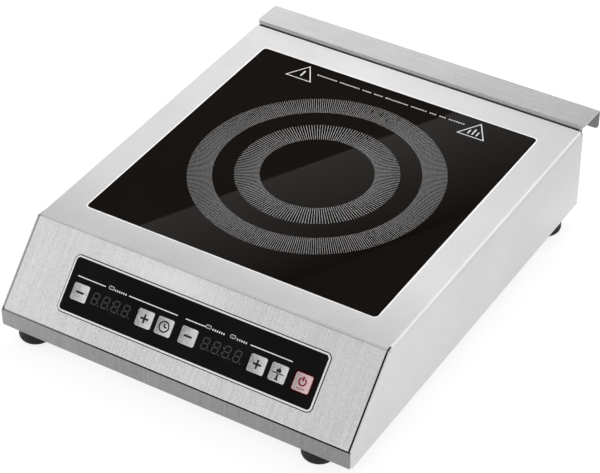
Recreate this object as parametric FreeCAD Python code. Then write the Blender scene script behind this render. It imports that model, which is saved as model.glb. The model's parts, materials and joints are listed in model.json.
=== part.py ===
import FreeCAD, Part
import math
import os

# Counter-top commercial induction hob.
# Frame: origin on the table under the middle of the bounding box, +X to the user's right,
# +Y towards the back, +Z up. The control panel faces the user, towards -Y. Millimetres.

# ---- Driving dimensions ----
WIDTH = 340.0              # across the side walls
BODY_DEPTH = 403.0         # front skirt to rear wall
BODY_HEIGHT = 80.0         # base to top plate, without the feet
SKIRT_HEIGHT = 18.0        # upright strip below the sloping control panel
SLOPE_RUN = 60.0           # how far back the sloping panel reaches
SHEET = 1.0                # stainless sheet thickness
BEND = 2.0                 # inside bend radius of the stainless sheet
SEAM = 0.3                 # visible gap between neighbouring sheets
SLOPE_BEND = 3.0           # inside bend radius between the top plate and the slope
SLOPE_GAP = 1.6            # sealed gap between the slope and each side wall
HOOD_GAP = 2.8             # sealed gap between the top plate and the hood
PANEL_GAP = 0.8            # sealed gap round the bezel
FLANGE = 12.0              # turned-in edges that screws go through
SLIT = 4.5                 # relief cut at the end of each upper edge, behind the slope
BEAD = 0.8                 # depth of the black sealant in the gaps

FOOT_HEIGHT = 14.0
FOOT_RADIUS = 15.0
FOOT_INSET_X = 22.0        # front feet, from the left wall
FOOT_INSET_RIGHT = 38.0    # front right foot, from the right wall
FOOT_REAR_INSET_X = 16.0   # rear right foot, from the right wall
FOOT_INSET_FRONT = 16.5
FOOT_INSET_REAR = 32.5

HOOD_DEPTH = 34.0          # overhang behind the rear wall
HOOD_RISE = 3.2            # how far the hood stands above the top plate
HOOD_FALL = 1.5            # the hood's web slopes down this much to the rear
HOOD_FRONT_DROP = 15.2
HOOD_REAR_DROP = 20.0
HOOD_CORNER = 3.0

GLASS = 282.5              # square ceramic plate
GLASS_THICKNESS = 4.0
GLASS_CORNER = 4.0
GLASS_FROM_FRONT = 229.6   # front skirt to the middle of the glass
SEAL_WIDTH = 1.0           # silicone line round the glass
SEAL_BED = 0.5             # silicone under the glass
LEDGE = 8.0                # ledge that the glass rests on

# Control panel: x from the middle of the hob, v up the slope from the slope's lower edge,
# w outwards from the steel.
PANEL_X = 3.0
PANEL_V = 42.0
WINDOW_LENGTH = 243.5
WINDOW_HEIGHT = 46.2
WINDOW_CORNER = 3.2
WINDOW_TOP = 0.2
WINDOW_THICKNESS = 2.2
FRAME_RIM = 1.5
FRAME_PROUD = 0.8
FRAME_FLANGE = 3.0
KEY_V = 37.3
KEY_LENGTH = 15.2
KEY_HEIGHT = 14.6
KEY_CORNER = 1.5
KEY_TOP = 0.9
KEY_GAP = 0.2              # clearance round each key in the window
KEY_PLACES = {
    "key_timer_minus": -104.8,
    "key_timer_plus": -40.0,
    "key_timer_set": -20.6,
    "key_power_minus": 2.6,
    "key_power_plus": 68.7,
    "key_mode": 88.5,
    "key_on_off": 110.9,
}
DISPLAY_PLACES = {"timer_display": -73.5, "power_display": 35.1}
LAMP_PLACES = (-78.7, 16.8, 40.1)
LAMP_V = 50.7
LAMP_LENGTH = 5.0
LAMP_HEIGHT = 2.6
BOARD_FACE = -12.0         # front face of the control board
BOARD = 1.6                # circuit board thickness
PIN_PITCH = 2.54
PIN_RADIUS = 0.3

FAN_SIZE = 80.0
FAN_THICKNESS = 25.0
FAN_X = 76.0
FAN_Y = -100.0
FAN_HOLE_SPACING = 71.5
BLADES = 7

COIL_INNER = 28.0
COIL_TURNS = 19
COIL_PITCH = 4.4
INNER_LEAD_HOLE = (19.0, -5.5)   # where the coil's inner end goes down through its carrier
INNER_LEAD_HOLE_RADIUS = 5.2
LITZ_RADIUS = 1.9
FORMER_RADIUS = 116.0
FORMER_THICKNESS = 3.0
POST_CIRCLE = 121.0
FERRITES = 8
FERRITE = (58.0, 12.0, 5.0)

GLAND_X = -120.0
GLAND_Z = 33.0
CORD_RADIUS = 4.2          # bore of the gland's bush
STUD_X = 140.0
STUD_RADIUS = 3.0          # M6 equipotential stud
STUD_INWARD = 9.0
STUD_OUTWARD = 18.0
STUD_ACROSS_FLATS = 10.0
STUD_WASHER = 1.2

# ---- Worked-out values ----
HALF = WIDTH / 2
TOTAL_DEPTH = BODY_DEPTH + HOOD_DEPTH
FRONT = -TOTAL_DEPTH / 2
REAR = FRONT + BODY_DEPTH
FLOOR = FOOT_HEIGHT                      # underside of the base
TOP = FLOOR + BODY_HEIGHT
INSIDE = FLOOR + SHEET                   # upper face of the base
SKIRT_TOP = FLOOR + SKIRT_HEIGHT
BEND_Y = FRONT + SLOPE_RUN
SLOPE_ANGLE = math.degrees(math.atan2(TOP - SKIRT_TOP, SLOPE_RUN))
GLASS_Y = FRONT + GLASS_FROM_FRONT
GLASS_UNDER = TOP - GLASS_THICKNESS
GLASS_OPENING = GLASS + 2 * SEAL_WIDTH
LEDGE_TOP = GLASS_UNDER - SEAL_BED
WINDOW_UNDER = WINDOW_TOP - WINDOW_THICKNESS
COIL_TOP = GLASS_UNDER - 1.2
COIL_UNDER = COIL_TOP - 2 * LITZ_RADIUS
FORMER_UNDER = COIL_UNDER - 0.2 - FORMER_THICKNESS
POWER_BOARD_UNDER = INSIDE + 8.0
POWER_BOARD_TOP = POWER_BOARD_UNDER + BOARD
ON_SLOPE = FreeCAD.Placement(
    FreeCAD.Vector(0, FRONT, SKIRT_TOP),
    FreeCAD.Rotation(FreeCAD.Vector(1, 0, 0), SLOPE_ANGLE),
)
FACING_X = FreeCAD.Rotation(FreeCAD.Vector(1, 1, 1), 120)    # a section's x, y, depth to Y, Z, X
FACING_FRONT = FreeCAD.Rotation(FreeCAD.Vector(1, 0, 0), 90)  # a section's x, y, depth to X, Z, -Y
FACING_BACK = FreeCAD.Rotation(FreeCAD.Vector(1, 0, 0), -90)  # a cylinder's height runs to +Y


# ---- Shape helpers ----
def vector(x, y, z=0.0):
    return FreeCAD.Vector(x, y, z)


def placed(shape, rotation, x=0.0, y=0.0, z=0.0):
    moved = shape.copy()
    moved.Placement = FreeCAD.Placement(vector(x, y, z), rotation).multiply(moved.Placement)
    return moved


def rounded_wire(points, radii):
    """Closed flat wire through the points, with each corner rounded by its radius."""
    corners = []
    for index, corner in enumerate(points):
        back = points[index - 1] - corner
        ahead = points[(index + 1) % len(points)] - corner
        back.normalize()
        ahead.normalize()
        half_angle = back.getAngle(ahead) / 2
        radius = radii[index]
        reach = radius / math.tan(half_angle)
        inward = back + ahead
        inward.normalize()
        middle = corner + inward * (radius / math.sin(half_angle) - radius)
        corners.append((corner + back * reach, middle, corner + ahead * reach, radius))
    edges = []
    for index, (start, middle, end, radius) in enumerate(corners):
        if radius > 0:
            edges.append(Part.Arc(start, middle, end).toShape())
        following = corners[(index + 1) % len(corners)][0]
        if (following - end).Length > 1e-6:
            edges.append(Part.LineSegment(end, following).toShape())
    return Part.Wire(edges)


def plate(points, radii, thickness):
    """Flat plate from z = 0 upwards; radii is one radius or one for each point."""
    if isinstance(radii, (int, float)):
        radii = [radii] * len(points)
    flat = [vector(x, y) for x, y in points]
    return Part.Face(rounded_wire(flat, radii)).extrude(vector(0, 0, thickness))


def rounded_box(length, depth, z_low, z_high, corner, x=0.0, y=0.0):
    half_x = length / 2
    half_y = depth / 2
    outline = [(-half_x, -half_y), (half_x, -half_y), (half_x, half_y), (-half_x, half_y)]
    return placed(plate(outline, corner, z_high - z_low), FreeCAD.Rotation(), x, y, z_low)


def box(x_low, x_high, y_low, y_high, z_low, z_high):
    return Part.makeBox(x_high - x_low, y_high - y_low, z_high - z_low, vector(x_low, y_low, z_low))


def cylinder(radius, z_low, z_high, x=0.0, y=0.0):
    return Part.makeCylinder(radius, z_high - z_low, vector(x, y, z_low))


def rod_to_back(radius, x, z, y_low, y_high):
    return Part.makeCylinder(radius, y_high - y_low, vector(x, y_low, z), vector(0, 1, 0))


def hexagon(across_flats, z_low, z_high):
    radius = across_flats / math.sqrt(3)
    points = [(radius * math.cos(k * math.pi / 3), radius * math.sin(k * math.pi / 3)) for k in range(6)]
    return placed(plate(points, 0.0, z_high - z_low), FreeCAD.Rotation(), z=z_low)


def bent_sheet(path, length, bend=BEND, thickness=SHEET):
    """Bent sheet: path is one face's section, and the metal lies to the left of the path.

    bend is the inside radius, one for all the corners or one for each point of the path.
    """
    bends = [bend] * len(path) if isinstance(bend, (int, float)) else bend
    points = [vector(x, y) for x, y in path]
    directions = [(b - a).normalize() for a, b in zip(points, points[1:])]
    offset = []
    near_radii = []
    far_radii = []
    for index, point in enumerate(points):
        before = directions[max(index - 1, 0)]
        after = directions[min(index, len(directions) - 1)]
        normal_before = vector(-before.y, before.x)
        normal_after = vector(-after.y, after.x)
        mitre = (normal_before + normal_after) * (1 / (1 + normal_before.dot(normal_after)))
        offset.append(point + mitre * thickness)
        turn = before.x * after.y - before.y * after.x
        if abs(turn) < 1e-9:
            near_radii.append(0.0)
            far_radii.append(0.0)
        else:
            near_radii.append(bends[index] + thickness if turn > 0 else bends[index])
            far_radii.append(bends[index] if turn > 0 else bends[index] + thickness)
    wire = rounded_wire(points + offset[::-1], near_radii + far_radii[::-1])
    return Part.Face(wire).extrude(vector(0, 0, length))


def edges_along(shape, axis, test):
    """Straight edges parallel to the axis whose middle passes the test."""
    found = []
    for edge in shape.Edges:
        if edge.Curve.TypeId != "Part::GeomLine":
            continue
        if abs(edge.tangentAt(edge.FirstParameter).dot(axis)) > 0.999 and test(edge.CenterOfMass):
            found.append(edge)
    return found


def pan_screw(radius, head_radius, head_height, length):
    """Screw pointing up: the head's rounded top faces down, and its bearing face is z = 0."""
    head = Part.makeCylinder(head_radius, head_height, vector(0, 0, -head_height))
    head = head.makeFillet(head_height * 0.5, [edge for edge in head.Edges if edge.BoundBox.ZMax < -0.1])
    slot_arm = box(-head_radius * 0.55, head_radius * 0.55, -0.35, 0.35, -head_height, -head_height * 0.5)
    cross = slot_arm.fuse(slot_arm.rotated(vector(0, 0, 0), vector(0, 0, 1), 90))
    return head.fuse(Part.makeCylinder(radius, length)).cut(cross)


def smooth_tube(corners, radius, name):
    """Round wire of straight runs joined by tangent arcs, each as large as its runs allow."""
    points = [vector(*corner) for corner in corners]
    edges = []
    start = points[0]
    radii = []
    for before, corner, after in zip(points, points[1:], points[2:]):
        back = before - corner
        ahead = after - corner
        reach = 0.45 * min(back.Length, ahead.Length)
        back.normalize()
        ahead.normalize()
        half_angle = back.getAngle(ahead) / 2
        arc_radius = reach * math.tan(half_angle)
        radii.append(round(arc_radius, 1))
        inward = (back + ahead).normalize()
        middle = corner + inward * (arc_radius / math.sin(half_angle) - arc_radius)
        edges.append(Part.LineSegment(start, corner + back * reach).toShape())
        edges.append(Part.Arc(corner + back * reach, middle, corner + ahead * reach).toShape())
        start = corner + ahead * reach
    edges.append(Part.LineSegment(start, points[-1]).toShape())
    path = Part.Wire(edges)
    profile = Part.Wire([Part.makeCircle(radius, points[0], points[1] - points[0])])
    tube = path.makePipeShell([profile], True, False)
    expected = math.pi * radius * radius * path.Length
    print(name, "bend radii", radii, "volume over section times length", round(tube.Volume / expected, 4))
    return tube


def compound(shapes):
    return Part.makeCompound(list(shapes))


def on_slope(shape):
    moved = shape.copy()
    moved.Placement = ON_SLOPE.multiply(moved.Placement)
    return moved


# ---- Steel casing ----
def foot_places():
    left = -HALF + FOOT_INSET_X
    front = FRONT + FOOT_INSET_FRONT
    rear = REAR - FOOT_INSET_REAR
    return {
        "foot_front_left": (left, front),
        "foot_front_right": (HALF - FOOT_INSET_RIGHT, front),
        "foot_rear_left": (left, rear),
        "foot_rear_right": (HALF - FOOT_REAR_INSET_X, rear),
    }


def base_screw_places():
    edge = HALF - SHEET - FLANGE / 2
    places = [(side * edge, y) for side in (-1, 1) for y in (FRONT + 60.0, FRONT + 200.0, REAR - 70.0)]
    return places + [(-50.0, REAR - SHEET - FLANGE / 2), (50.0, REAR - SHEET - FLANGE / 2)]


def side_wall():
    """Left side wall, drawn as the outline in depth and height, with its turned-in lower flange."""
    outline = [
        (REAR, INSIDE),
        (REAR, TOP - BEND - SHEET),
        (BEND_Y, TOP - BEND - SHEET),
        (BEND_Y, TOP - 0.6),
        (BEND_Y - 0.6, TOP - 0.6),
        (FRONT + SHEET, SKIRT_TOP + SHEET),
        (FRONT + SHEET + 0.2, INSIDE),
    ]
    radii = [5.0, 0.0, 0.0, 0.0, 0.5, 0.0, 2.0]
    wall = placed(plate(outline, radii, SHEET), FACING_X, x=-HALF)
    flange = box(-HALF, -HALF + SHEET + FLANGE, FRONT + 6.0, REAR - FLANGE - 0.5, INSIDE, INSIDE + SHEET)
    return wall.fuse(flange)


def top_and_sides():
    """Top plate bent down into the two side walls along their upper edges."""
    side = TOP - BEND - SHEET - 2.0
    path = [(HALF, side), (HALF, TOP), (-HALF, TOP), (-HALF, side)]
    length = REAR - HOOD_GAP - BEND_Y - 1.0
    channel = placed(bent_sheet(path, length), FACING_FRONT, y=REAR - HOOD_GAP)
    left = side_wall()
    right = left.mirror(vector(0, 0, 0), vector(1, 0, 0))
    return channel.fuse([left, right])


def front_slope():
    """Sloping control panel, bent off the top plate, with its lower edge turned in behind the skirt."""
    behind_skirt = FRONT + SHEET + 0.1
    path = [
        (BEND_Y + 8.0, TOP),
        (BEND_Y, TOP),
        (behind_skirt, SKIRT_TOP + (behind_skirt - FRONT) * math.tan(math.radians(SLOPE_ANGLE))),
        (behind_skirt, SKIRT_TOP - 9.0),
    ]
    length = WIDTH - 2 * SHEET - 2 * SLOPE_GAP
    bends = [0.0, SLOPE_BEND, 0.3, 0.0]
    return placed(bent_sheet(path, length, bends), FACING_X, x=-length / 2)


def corner_relief():
    """Short slit at the end of each upper edge, where the slope and the side part company."""
    slit = box(HALF - SHEET - SLOPE_GAP, HALF - SHEET, BEND_Y - 3.0, BEND_Y + SLIT, TOP - 6.0, TOP + 1.0)
    return slit.fuse(slit.mirror(vector(0, 0, 0), vector(1, 0, 0)))


def glass_well():
    """Stepped rim that the glass drops into."""
    size = GLASS_OPENING + 2 * SHEET
    return rounded_box(size, size, LEDGE_TOP - SHEET, TOP, GLASS_CORNER + SEAL_WIDTH + SHEET, y=GLASS_Y)


def glass_hollow():
    """What the glass and its seal fill, and the opening inside the ledge."""
    upper = rounded_box(GLASS_OPENING, GLASS_OPENING, LEDGE_TOP, TOP + 1.0,
                        GLASS_CORNER + SEAL_WIDTH, y=GLASS_Y)
    inner = GLASS - 2 * LEDGE
    lower = rounded_box(inner, inner, LEDGE_TOP - SHEET - 1.0, TOP, GLASS_CORNER + 4.0, y=GLASS_Y)
    return upper.fuse(lower)


def frame_length():
    return WINDOW_LENGTH + 2 * FRAME_RIM


def frame_height():
    return WINDOW_HEIGHT + 2 * FRAME_RIM


def panel_opening():
    return on_slope(rounded_box(frame_length() + 2 * PANEL_GAP, frame_height() + 2 * PANEL_GAP, -5.0, 5.0,
                                WINDOW_CORNER + FRAME_RIM + PANEL_GAP, PANEL_X, PANEL_V))


def top_housing():
    shell = top_and_sides().fuse(front_slope()).fuse(glass_well())
    shell = shell.cut(glass_hollow()).cut(panel_opening()).cut(corner_relief())
    drills = [cylinder(1.7, FLOOR - 1.0, INSIDE + 3.0, x, y) for x, y in base_screw_places()]
    return shell.cut(drills).removeSplitter()


def fan_centres():
    return {"left": (-FAN_X, FAN_Y), "right": (FAN_X, FAN_Y)}


def fan_screw_offsets():
    half = FAN_HOLE_SPACING / 2
    return [(x, y) for x in (-half, half) for y in (-half, half)]


def vent_slots(centre_x, centre_y):
    """Parallel slots that fill the circle under one fan."""
    slots = []
    for step in range(-4, 5):
        offset = step * 8.0
        half_length = math.sqrt(37.0 ** 2 - offset ** 2)
        slots.append(rounded_box(4.0, 2 * half_length, FLOOR - 1.0, INSIDE + 1.0, 1.9,
                                 centre_x + offset, centre_y))
    return slots


def power_board_posts():
    return [(x, y) for x in (-82.0, 82.0) for y in (-34.0, 96.0)]


def coil_post_places():
    return [(POST_CIRCLE * math.cos(k * math.pi / 2), GLASS_Y + POST_CIRCLE * math.sin(k * math.pi / 2))
            for k in range(4)]


def base_tray():
    """Base plate whose front edge is bent up as the skirt below the control panel."""
    path = [
        (FRONT, SKIRT_TOP - SEAM),
        (FRONT, FLOOR),
        (REAR - SEAM, FLOOR),
    ]
    tray = placed(bent_sheet(path, WIDTH, bend=1.0), FACING_X, x=-HALF)
    trimmed = tray.cut(skirt_corner_cuts())
    openings = []
    for x, y in fan_centres().values():
        openings += vent_slots(x, y)
        openings += [cylinder(2.1, 0, 30.0, x + dx, y + dy) for dx, dy in fan_screw_offsets()]
    openings += [cylinder(1.9, 0, 30.0, x, y) for x, y in base_screw_places()]
    openings += [cylinder(2.1, 0, 30.0, x, y) for x, y in foot_places().values()]
    openings += [cylinder(1.6, 0, 30.0, x, y) for x, y in power_board_posts() + coil_post_places()]
    return trimmed.cut(openings)


def skirt_corner_cuts():
    """What is left outside a rounded lower corner at each end of the skirt."""
    size = 3.5
    block = box(HALF - size, HALF + 1.0, FRONT - 1.0, FRONT + 3.5, FLOOR - 1.0, FLOOR + size)
    round_end = rod_to_back(size, HALF - size, FLOOR + size, FRONT - 2.0, FRONT + 5.0)
    cut = block.cut(round_end)
    return cut.fuse(cut.mirror(vector(0, 0, 0), vector(1, 0, 0)))


def rear_slots():
    slots = []
    for index in range(-15, 16):
        slot = rounded_box(4.0, 28.0, -2.0, 6.0, 1.9)
        slots.append(placed(slot, FACING_BACK, index * 8.5, REAR - 3.0, FLOOR + 49.0))
    return slots


def hood_screw_places():
    return [(-150.0, TOP - 6.0), (0.0, TOP - 6.0), (150.0, TOP - 6.0)]


def rear_panel():
    """Rear wall with exhaust slots, turned in at the bottom, stepped forward at the top."""
    step = 1.4
    path = [
        (REAR - FLANGE, INSIDE),
        (REAR, INSIDE),
        (REAR, TOP - 11.0),
        (REAR - step, TOP - 7.0),
        (REAR - step, TOP - SHEET - 0.2),
        (REAR - FLANGE, TOP - SHEET - 0.2),
    ]
    length = WIDTH - 2 * SHEET - 0.4
    wall = placed(bent_sheet(path, length, bend=0.8), FACING_X, x=-length / 2)
    notch = box(HALF - SHEET - BEND - 0.7, HALF, REAR - 20.0, REAR + 1.0, TOP - SHEET - BEND - 0.7, TOP)
    wall = wall.cut([notch, notch.mirror(vector(0, 0, 0), vector(1, 0, 0))])
    drills = [rod_to_back(1.7, x, z, REAR - 5.0, REAR + 2.0) for x, z in hood_screw_places()]
    drills.append(rod_to_back(8.1, GLAND_X, GLAND_Z, REAR - 5.0, REAR + 2.0))
    drills.append(rod_to_back(STUD_RADIUS + 0.1, STUD_X, GLAND_Z, REAR - 5.0, REAR + 2.0))
    drills += [cylinder(1.7, FLOOR, INSIDE + 3.0, x, y) for x, y in base_screw_places()]
    return wall.cut(rear_slots()).cut(drills)


def rear_hood():
    """Splash guard over the exhaust: front flange, sloping web and rear flange, open at both ends."""
    crest = TOP + HOOD_RISE
    rear_edge = REAR + HOOD_DEPTH
    path = [
        (rear_edge, crest - HOOD_FALL - HOOD_REAR_DROP),
        (rear_edge, crest - HOOD_FALL),
        (REAR, crest),
        (REAR, crest - HOOD_FRONT_DROP),
    ]
    hood = placed(bent_sheet(path, WIDTH, bend=1.2), FACING_X, x=-HALF)
    lower = edges_along(hood, vector(0, 1, 0), lambda c: c.z < crest - HOOD_FALL - HOOD_REAR_DROP + 0.1)
    hood = hood.makeFillet(4.0, lower)
    front_trim = placed(plate([(HALF - HOOD_CORNER, REAR - 1.0), (HALF + 1.0, REAR - 1.0),
                               (HALF + 1.0, REAR + HOOD_CORNER + 1.0)], 0.0, 40.0),
                        FreeCAD.Rotation(), z=crest - 30.0)
    front_trim = front_trim.fuse(front_trim.mirror(vector(0, 0, 0), vector(1, 0, 0)))
    drills = [rod_to_back(2.1, x, z, REAR - 2.0, REAR + 3.0) for x, z in hood_screw_places()]
    return hood.cut(front_trim).cut(drills)


def slope_beads():
    """Sealant down each side of the slope and on into the relief slit behind it."""
    middle = HALF - SHEET - SLOPE_GAP / 2
    width = SLOPE_GAP - 0.04
    slope_length = math.hypot(SLOPE_RUN, TOP - SKIRT_TOP)
    along_slope = on_slope(rounded_box(width, slope_length - 5.0, -0.1 - BEAD, -0.1, 0.0,
                                       middle, slope_length / 2))
    in_slit = box(middle - width / 2, middle + width / 2, BEND_Y + 0.8, BEND_Y + SLIT - 0.1,
                  TOP - 0.9 - BEAD, TOP - 0.9)
    right = [along_slope, in_slit]
    return right + [bead.mirror(vector(0, 0, 0), vector(1, 0, 0)) for bead in right]


def joint_sealant():
    """Black sealant in the open joints: beside and below the slope, round the bezel, along the hood."""
    reach = HALF - SHEET - BEND - 1.0
    along_hood = box(-reach, reach, REAR - HOOD_GAP + 0.02, REAR - 0.02, TOP - SHEET - 0.15, TOP - 0.4)
    end = HALF - SHEET - SLOPE_GAP
    below_slope = box(-end, end, FRONT + 0.5, FRONT + SHEET + 0.08, SKIRT_TOP - SEAM + 0.02, SKIRT_TOP + 0.3)
    around = 2 * PANEL_GAP - 0.04
    ring = rounded_box(frame_length() + around, frame_height() + around, -0.1 - BEAD, -0.1,
                       WINDOW_CORNER + FRAME_RIM + PANEL_GAP, PANEL_X, PANEL_V)
    hole = rounded_box(frame_length() + 0.04, frame_height() + 0.04, -5.0, 5.0,
                       WINDOW_CORNER + FRAME_RIM, PANEL_X, PANEL_V)
    return compound([along_hood, below_slope, on_slope(ring.cut(hole))] + slope_beads())


def screws_from_below(places, bearing_z, screw):
    return compound(placed(screw, FreeCAD.Rotation(), x, y, bearing_z) for x, y in places)


def case_screws():
    """The same screw holds the base to the casing from below and the hood to the rear wall."""
    screw = pan_screw(1.6, 3.2, 2.0, 6.0)
    screws = screws_from_below(base_screw_places(), FLOOR, screw).Solids
    from_behind = placed(screw, FreeCAD.Rotation(vector(1, 0, 0), 90))
    screws += [placed(from_behind, FreeCAD.Rotation(), x, REAR + SHEET, z) for x, z in hood_screw_places()]
    return compound(screws)


def foot(x, y):
    """Domed rubber foot with a recess for its screw."""
    dome = cylinder(FOOT_RADIUS, 0, FOOT_HEIGHT)
    lower_rim = [edge for edge in dome.Edges if edge.BoundBox.ZMax < 0.1]
    dome = dome.makeFillet(5.0, lower_rim)
    recess = cylinder(5.0, -1.0, 6.0).fuse(cylinder(2.2, 0, 20.0))
    return placed(dome.cut(recess), FreeCAD.Rotation(), x, y)


# ---- Glass ----
def glass_plate():
    glass = rounded_box(GLASS, GLASS, GLASS_UNDER, TOP, GLASS_CORNER, y=GLASS_Y)
    upper_rim = [edge for edge in glass.Edges if edge.BoundBox.ZMin > TOP - 0.1]
    return glass.makeChamfer(0.3, upper_rim)


def glass_seal():
    """Silicone bed under the glass and bead round it."""
    outer = rounded_box(GLASS_OPENING, GLASS_OPENING, LEDGE_TOP, TOP - 0.1,
                        GLASS_CORNER + SEAL_WIDTH, y=GLASS_Y)
    well = rounded_box(GLASS, GLASS, GLASS_UNDER, TOP + 1.0, GLASS_CORNER, y=GLASS_Y)
    inner = GLASS - 2 * LEDGE + 1.0
    middle = rounded_box(inner, inner, LEDGE_TOP - 1.0, TOP, GLASS_CORNER + 4.0, y=GLASS_Y)
    return outer.cut([well, middle])


# ---- Control panel ----
def panel_frame():
    """Bright bezel: a rim round the window, a ledge behind it and a flange behind the steel."""
    length = frame_length()
    height = frame_height()
    corner = WINDOW_CORNER + FRAME_RIM
    back = WINDOW_UNDER - 1.2
    rim = rounded_box(length, height, back, FRAME_PROUD, corner, PANEL_X, PANEL_V)
    crest = [edge for edge in rim.Edges if edge.BoundBox.ZMin > FRAME_PROUD - 0.01]
    rim = rim.makeFillet(0.5, crest)
    flange = rounded_box(length + 2 * FRAME_FLANGE, height + 2 * FRAME_FLANGE, back, -SHEET,
                         corner + FRAME_FLANGE, PANEL_X, PANEL_V)
    seat = rounded_box(WINDOW_LENGTH, WINDOW_HEIGHT, WINDOW_UNDER, 5.0, WINDOW_CORNER, PANEL_X, PANEL_V)
    through = rounded_box(WINDOW_LENGTH - 3.0, WINDOW_HEIGHT - 3.0, back - 1.0, 5.0, 2.0, PANEL_X, PANEL_V)
    return on_slope(rim.fuse(flange).cut([seat, through]))


def panel_window():
    window = rounded_box(WINDOW_LENGTH, WINDOW_HEIGHT, WINDOW_UNDER, WINDOW_TOP, WINDOW_CORNER,
                         PANEL_X, PANEL_V)
    holes = [rounded_box(KEY_LENGTH + 2 * KEY_GAP, KEY_HEIGHT + 2 * KEY_GAP, -5.0, 5.0,
                         KEY_CORNER + KEY_GAP, x, KEY_V) for x in KEY_PLACES.values()]
    holes += [rounded_box(LAMP_LENGTH, LAMP_HEIGHT, -5.0, 5.0, 1.2, x, LAMP_V) for x in LAMP_PLACES]
    return on_slope(window.cut(holes))


def key(x):
    """Push key: a rounded cap, a collar that keeps it behind the window, and a stem to its switch."""
    cap = rounded_box(KEY_LENGTH, KEY_HEIGHT, WINDOW_UNDER - 0.5, KEY_TOP, KEY_CORNER, x, KEY_V)
    crest = [edge for edge in cap.Edges if edge.BoundBox.ZMin > KEY_TOP - 0.01]
    cap = cap.makeFillet(0.4, crest)
    collar = rounded_box(KEY_LENGTH + 1.6, KEY_HEIGHT + 1.6, WINDOW_UNDER - 1.5, WINDOW_UNDER - 0.3,
                         KEY_CORNER, x, KEY_V)
    stem = cylinder(1.7, BOARD_FACE + 2.5, WINDOW_UNDER - 1.0, x, KEY_V)
    return on_slope(cap.fuse([collar, stem]))


def tact_switches():
    switches = []
    for x in KEY_PLACES.values():
        body = rounded_box(6.0, 6.0, BOARD_FACE, BOARD_FACE + 3.5, 0.4, x, KEY_V)
        switches.append(body.cut(cylinder(1.85, BOARD_FACE + 1.0, BOARD_FACE + 5.0, x, KEY_V)))
    return on_slope(compound(switches))


def display_pin_places(x):
    """Two rows of pins, above and below the digits."""
    columns = [x + PIN_PITCH * (k - 2.5) for k in range(6)]
    return [(column, KEY_V + side * 6.0) for column in columns for side in (-1, 1)]


def digit_display(x):
    """Four-digit module whose face lies just behind the window."""
    face = WINDOW_UNDER - 0.3
    module = rounded_box(40.3, 16.0, BOARD_FACE + 0.5, face, 0.5, x, KEY_V)
    pins = [cylinder(PIN_RADIUS, BOARD_FACE - BOARD - 1.5, BOARD_FACE + 1.0, pin_x, v)
            for pin_x, v in display_pin_places(x)]
    return on_slope(module.fuse(pins))


def indicator_lamps():
    return on_slope(compound(rounded_box(LAMP_LENGTH, LAMP_HEIGHT, BOARD_FACE, WINDOW_TOP, 1.2, x, LAMP_V)
                             for x in LAMP_PLACES))


def control_board_posts():
    reach = frame_length() / 2 + FRAME_FLANGE + 5.0
    return [(PANEL_X + side * reach, v) for side in (-1, 1) for v in (22.0, 58.0)]


def control_board():
    length = frame_length() + 2 * FRAME_FLANGE + 20.0
    board = rounded_box(length, 46.0, BOARD_FACE - BOARD, BOARD_FACE, 2.0, PANEL_X, 40.0)
    holes = [cylinder(1.6, BOARD_FACE - 5.0, BOARD_FACE + 1.0, x, v) for x, v in control_board_posts()]
    for place in DISPLAY_PLACES.values():
        holes += [cylinder(PIN_RADIUS, BOARD_FACE - 5.0, BOARD_FACE + 1.0, x, v)
                  for x, v in display_pin_places(place)]
    return on_slope(board.cut(holes))


def control_board_standoffs():
    posts = []
    for x, v in control_board_posts():
        post = cylinder(3.0, BOARD_FACE, -SHEET, x, v)
        posts.append(post.cut(cylinder(1.45, BOARD_FACE, BOARD_FACE + 7.0, x, v)))
    return on_slope(compound(posts))


# ---- Induction coil ----
def induction_coil():
    """Flat spiral of litz wire, drawn as half turns whose radius grows by half a pitch each."""
    z = COIL_UNDER + LITZ_RADIUS
    edges = []
    radius = COIL_INNER
    centre_x = 0.0
    side = 1
    for _ in range(2 * COIL_TURNS):
        start = vector(centre_x + side * radius, GLASS_Y, z)
        middle = vector(centre_x, GLASS_Y + side * radius, z)
        end = vector(centre_x - side * radius, GLASS_Y, z)
        edges.append(Part.Arc(start, middle, end).toShape())
        centre_x += side * COIL_PITCH / 2
        radius += COIL_PITCH / 2
        side = -side
    path = Part.Wire(edges)
    profile = Part.Wire([Part.makeCircle(LITZ_RADIUS, vector(COIL_INNER, GLASS_Y, z), vector(0, 1, 0))])
    coil = path.makePipeShell([profile], True, False)
    expected = math.pi * LITZ_RADIUS ** 2 * path.Length
    print("induction_coil volume over section times length", round(coil.Volume / expected, 4))
    return coil


def coil_former():
    """Plastic carrier under the coil, opened between its spokes, with an ear over each post."""
    high = FORMER_UNDER + FORMER_THICKNESS
    disc = cylinder(FORMER_RADIUS, FORMER_UNDER, high, 0, GLASS_Y)
    disc = disc.fuse([cylinder(6.5, FORMER_UNDER, high, x, y) for x, y in coil_post_places()])
    cuts = [cylinder(10.0, 0, TOP, 0, GLASS_Y), cylinder(INNER_LEAD_HOLE_RADIUS, 0, TOP, *INNER_LEAD_HOLE)]
    for k in range(FERRITES):
        angle = (k + 0.5) * 2 * math.pi / FERRITES
        for distance, radius in ((44.0, 11.0), (78.0, 17.0)):
            x = distance * math.cos(angle)
            y = GLASS_Y + distance * math.sin(angle)
            cuts.append(cylinder(radius, 0, TOP, x, y))
    cuts += [cylinder(1.7, 0, TOP, x, y) for x, y in coil_post_places()]
    return disc.cut(cuts)


def ferrite_bars():
    length, breadth, depth = FERRITE
    bars = []
    for k in range(FERRITES):
        bar = rounded_box(length, breadth, FORMER_UNDER - depth, FORMER_UNDER, 1.0, 38.0 + length / 2)
        turned = bar.rotated(vector(0, 0, 0), vector(0, 0, 1), k * 360.0 / FERRITES)
        bars.append(placed(turned, FreeCAD.Rotation(), y=GLASS_Y))
    return compound(bars)


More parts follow.
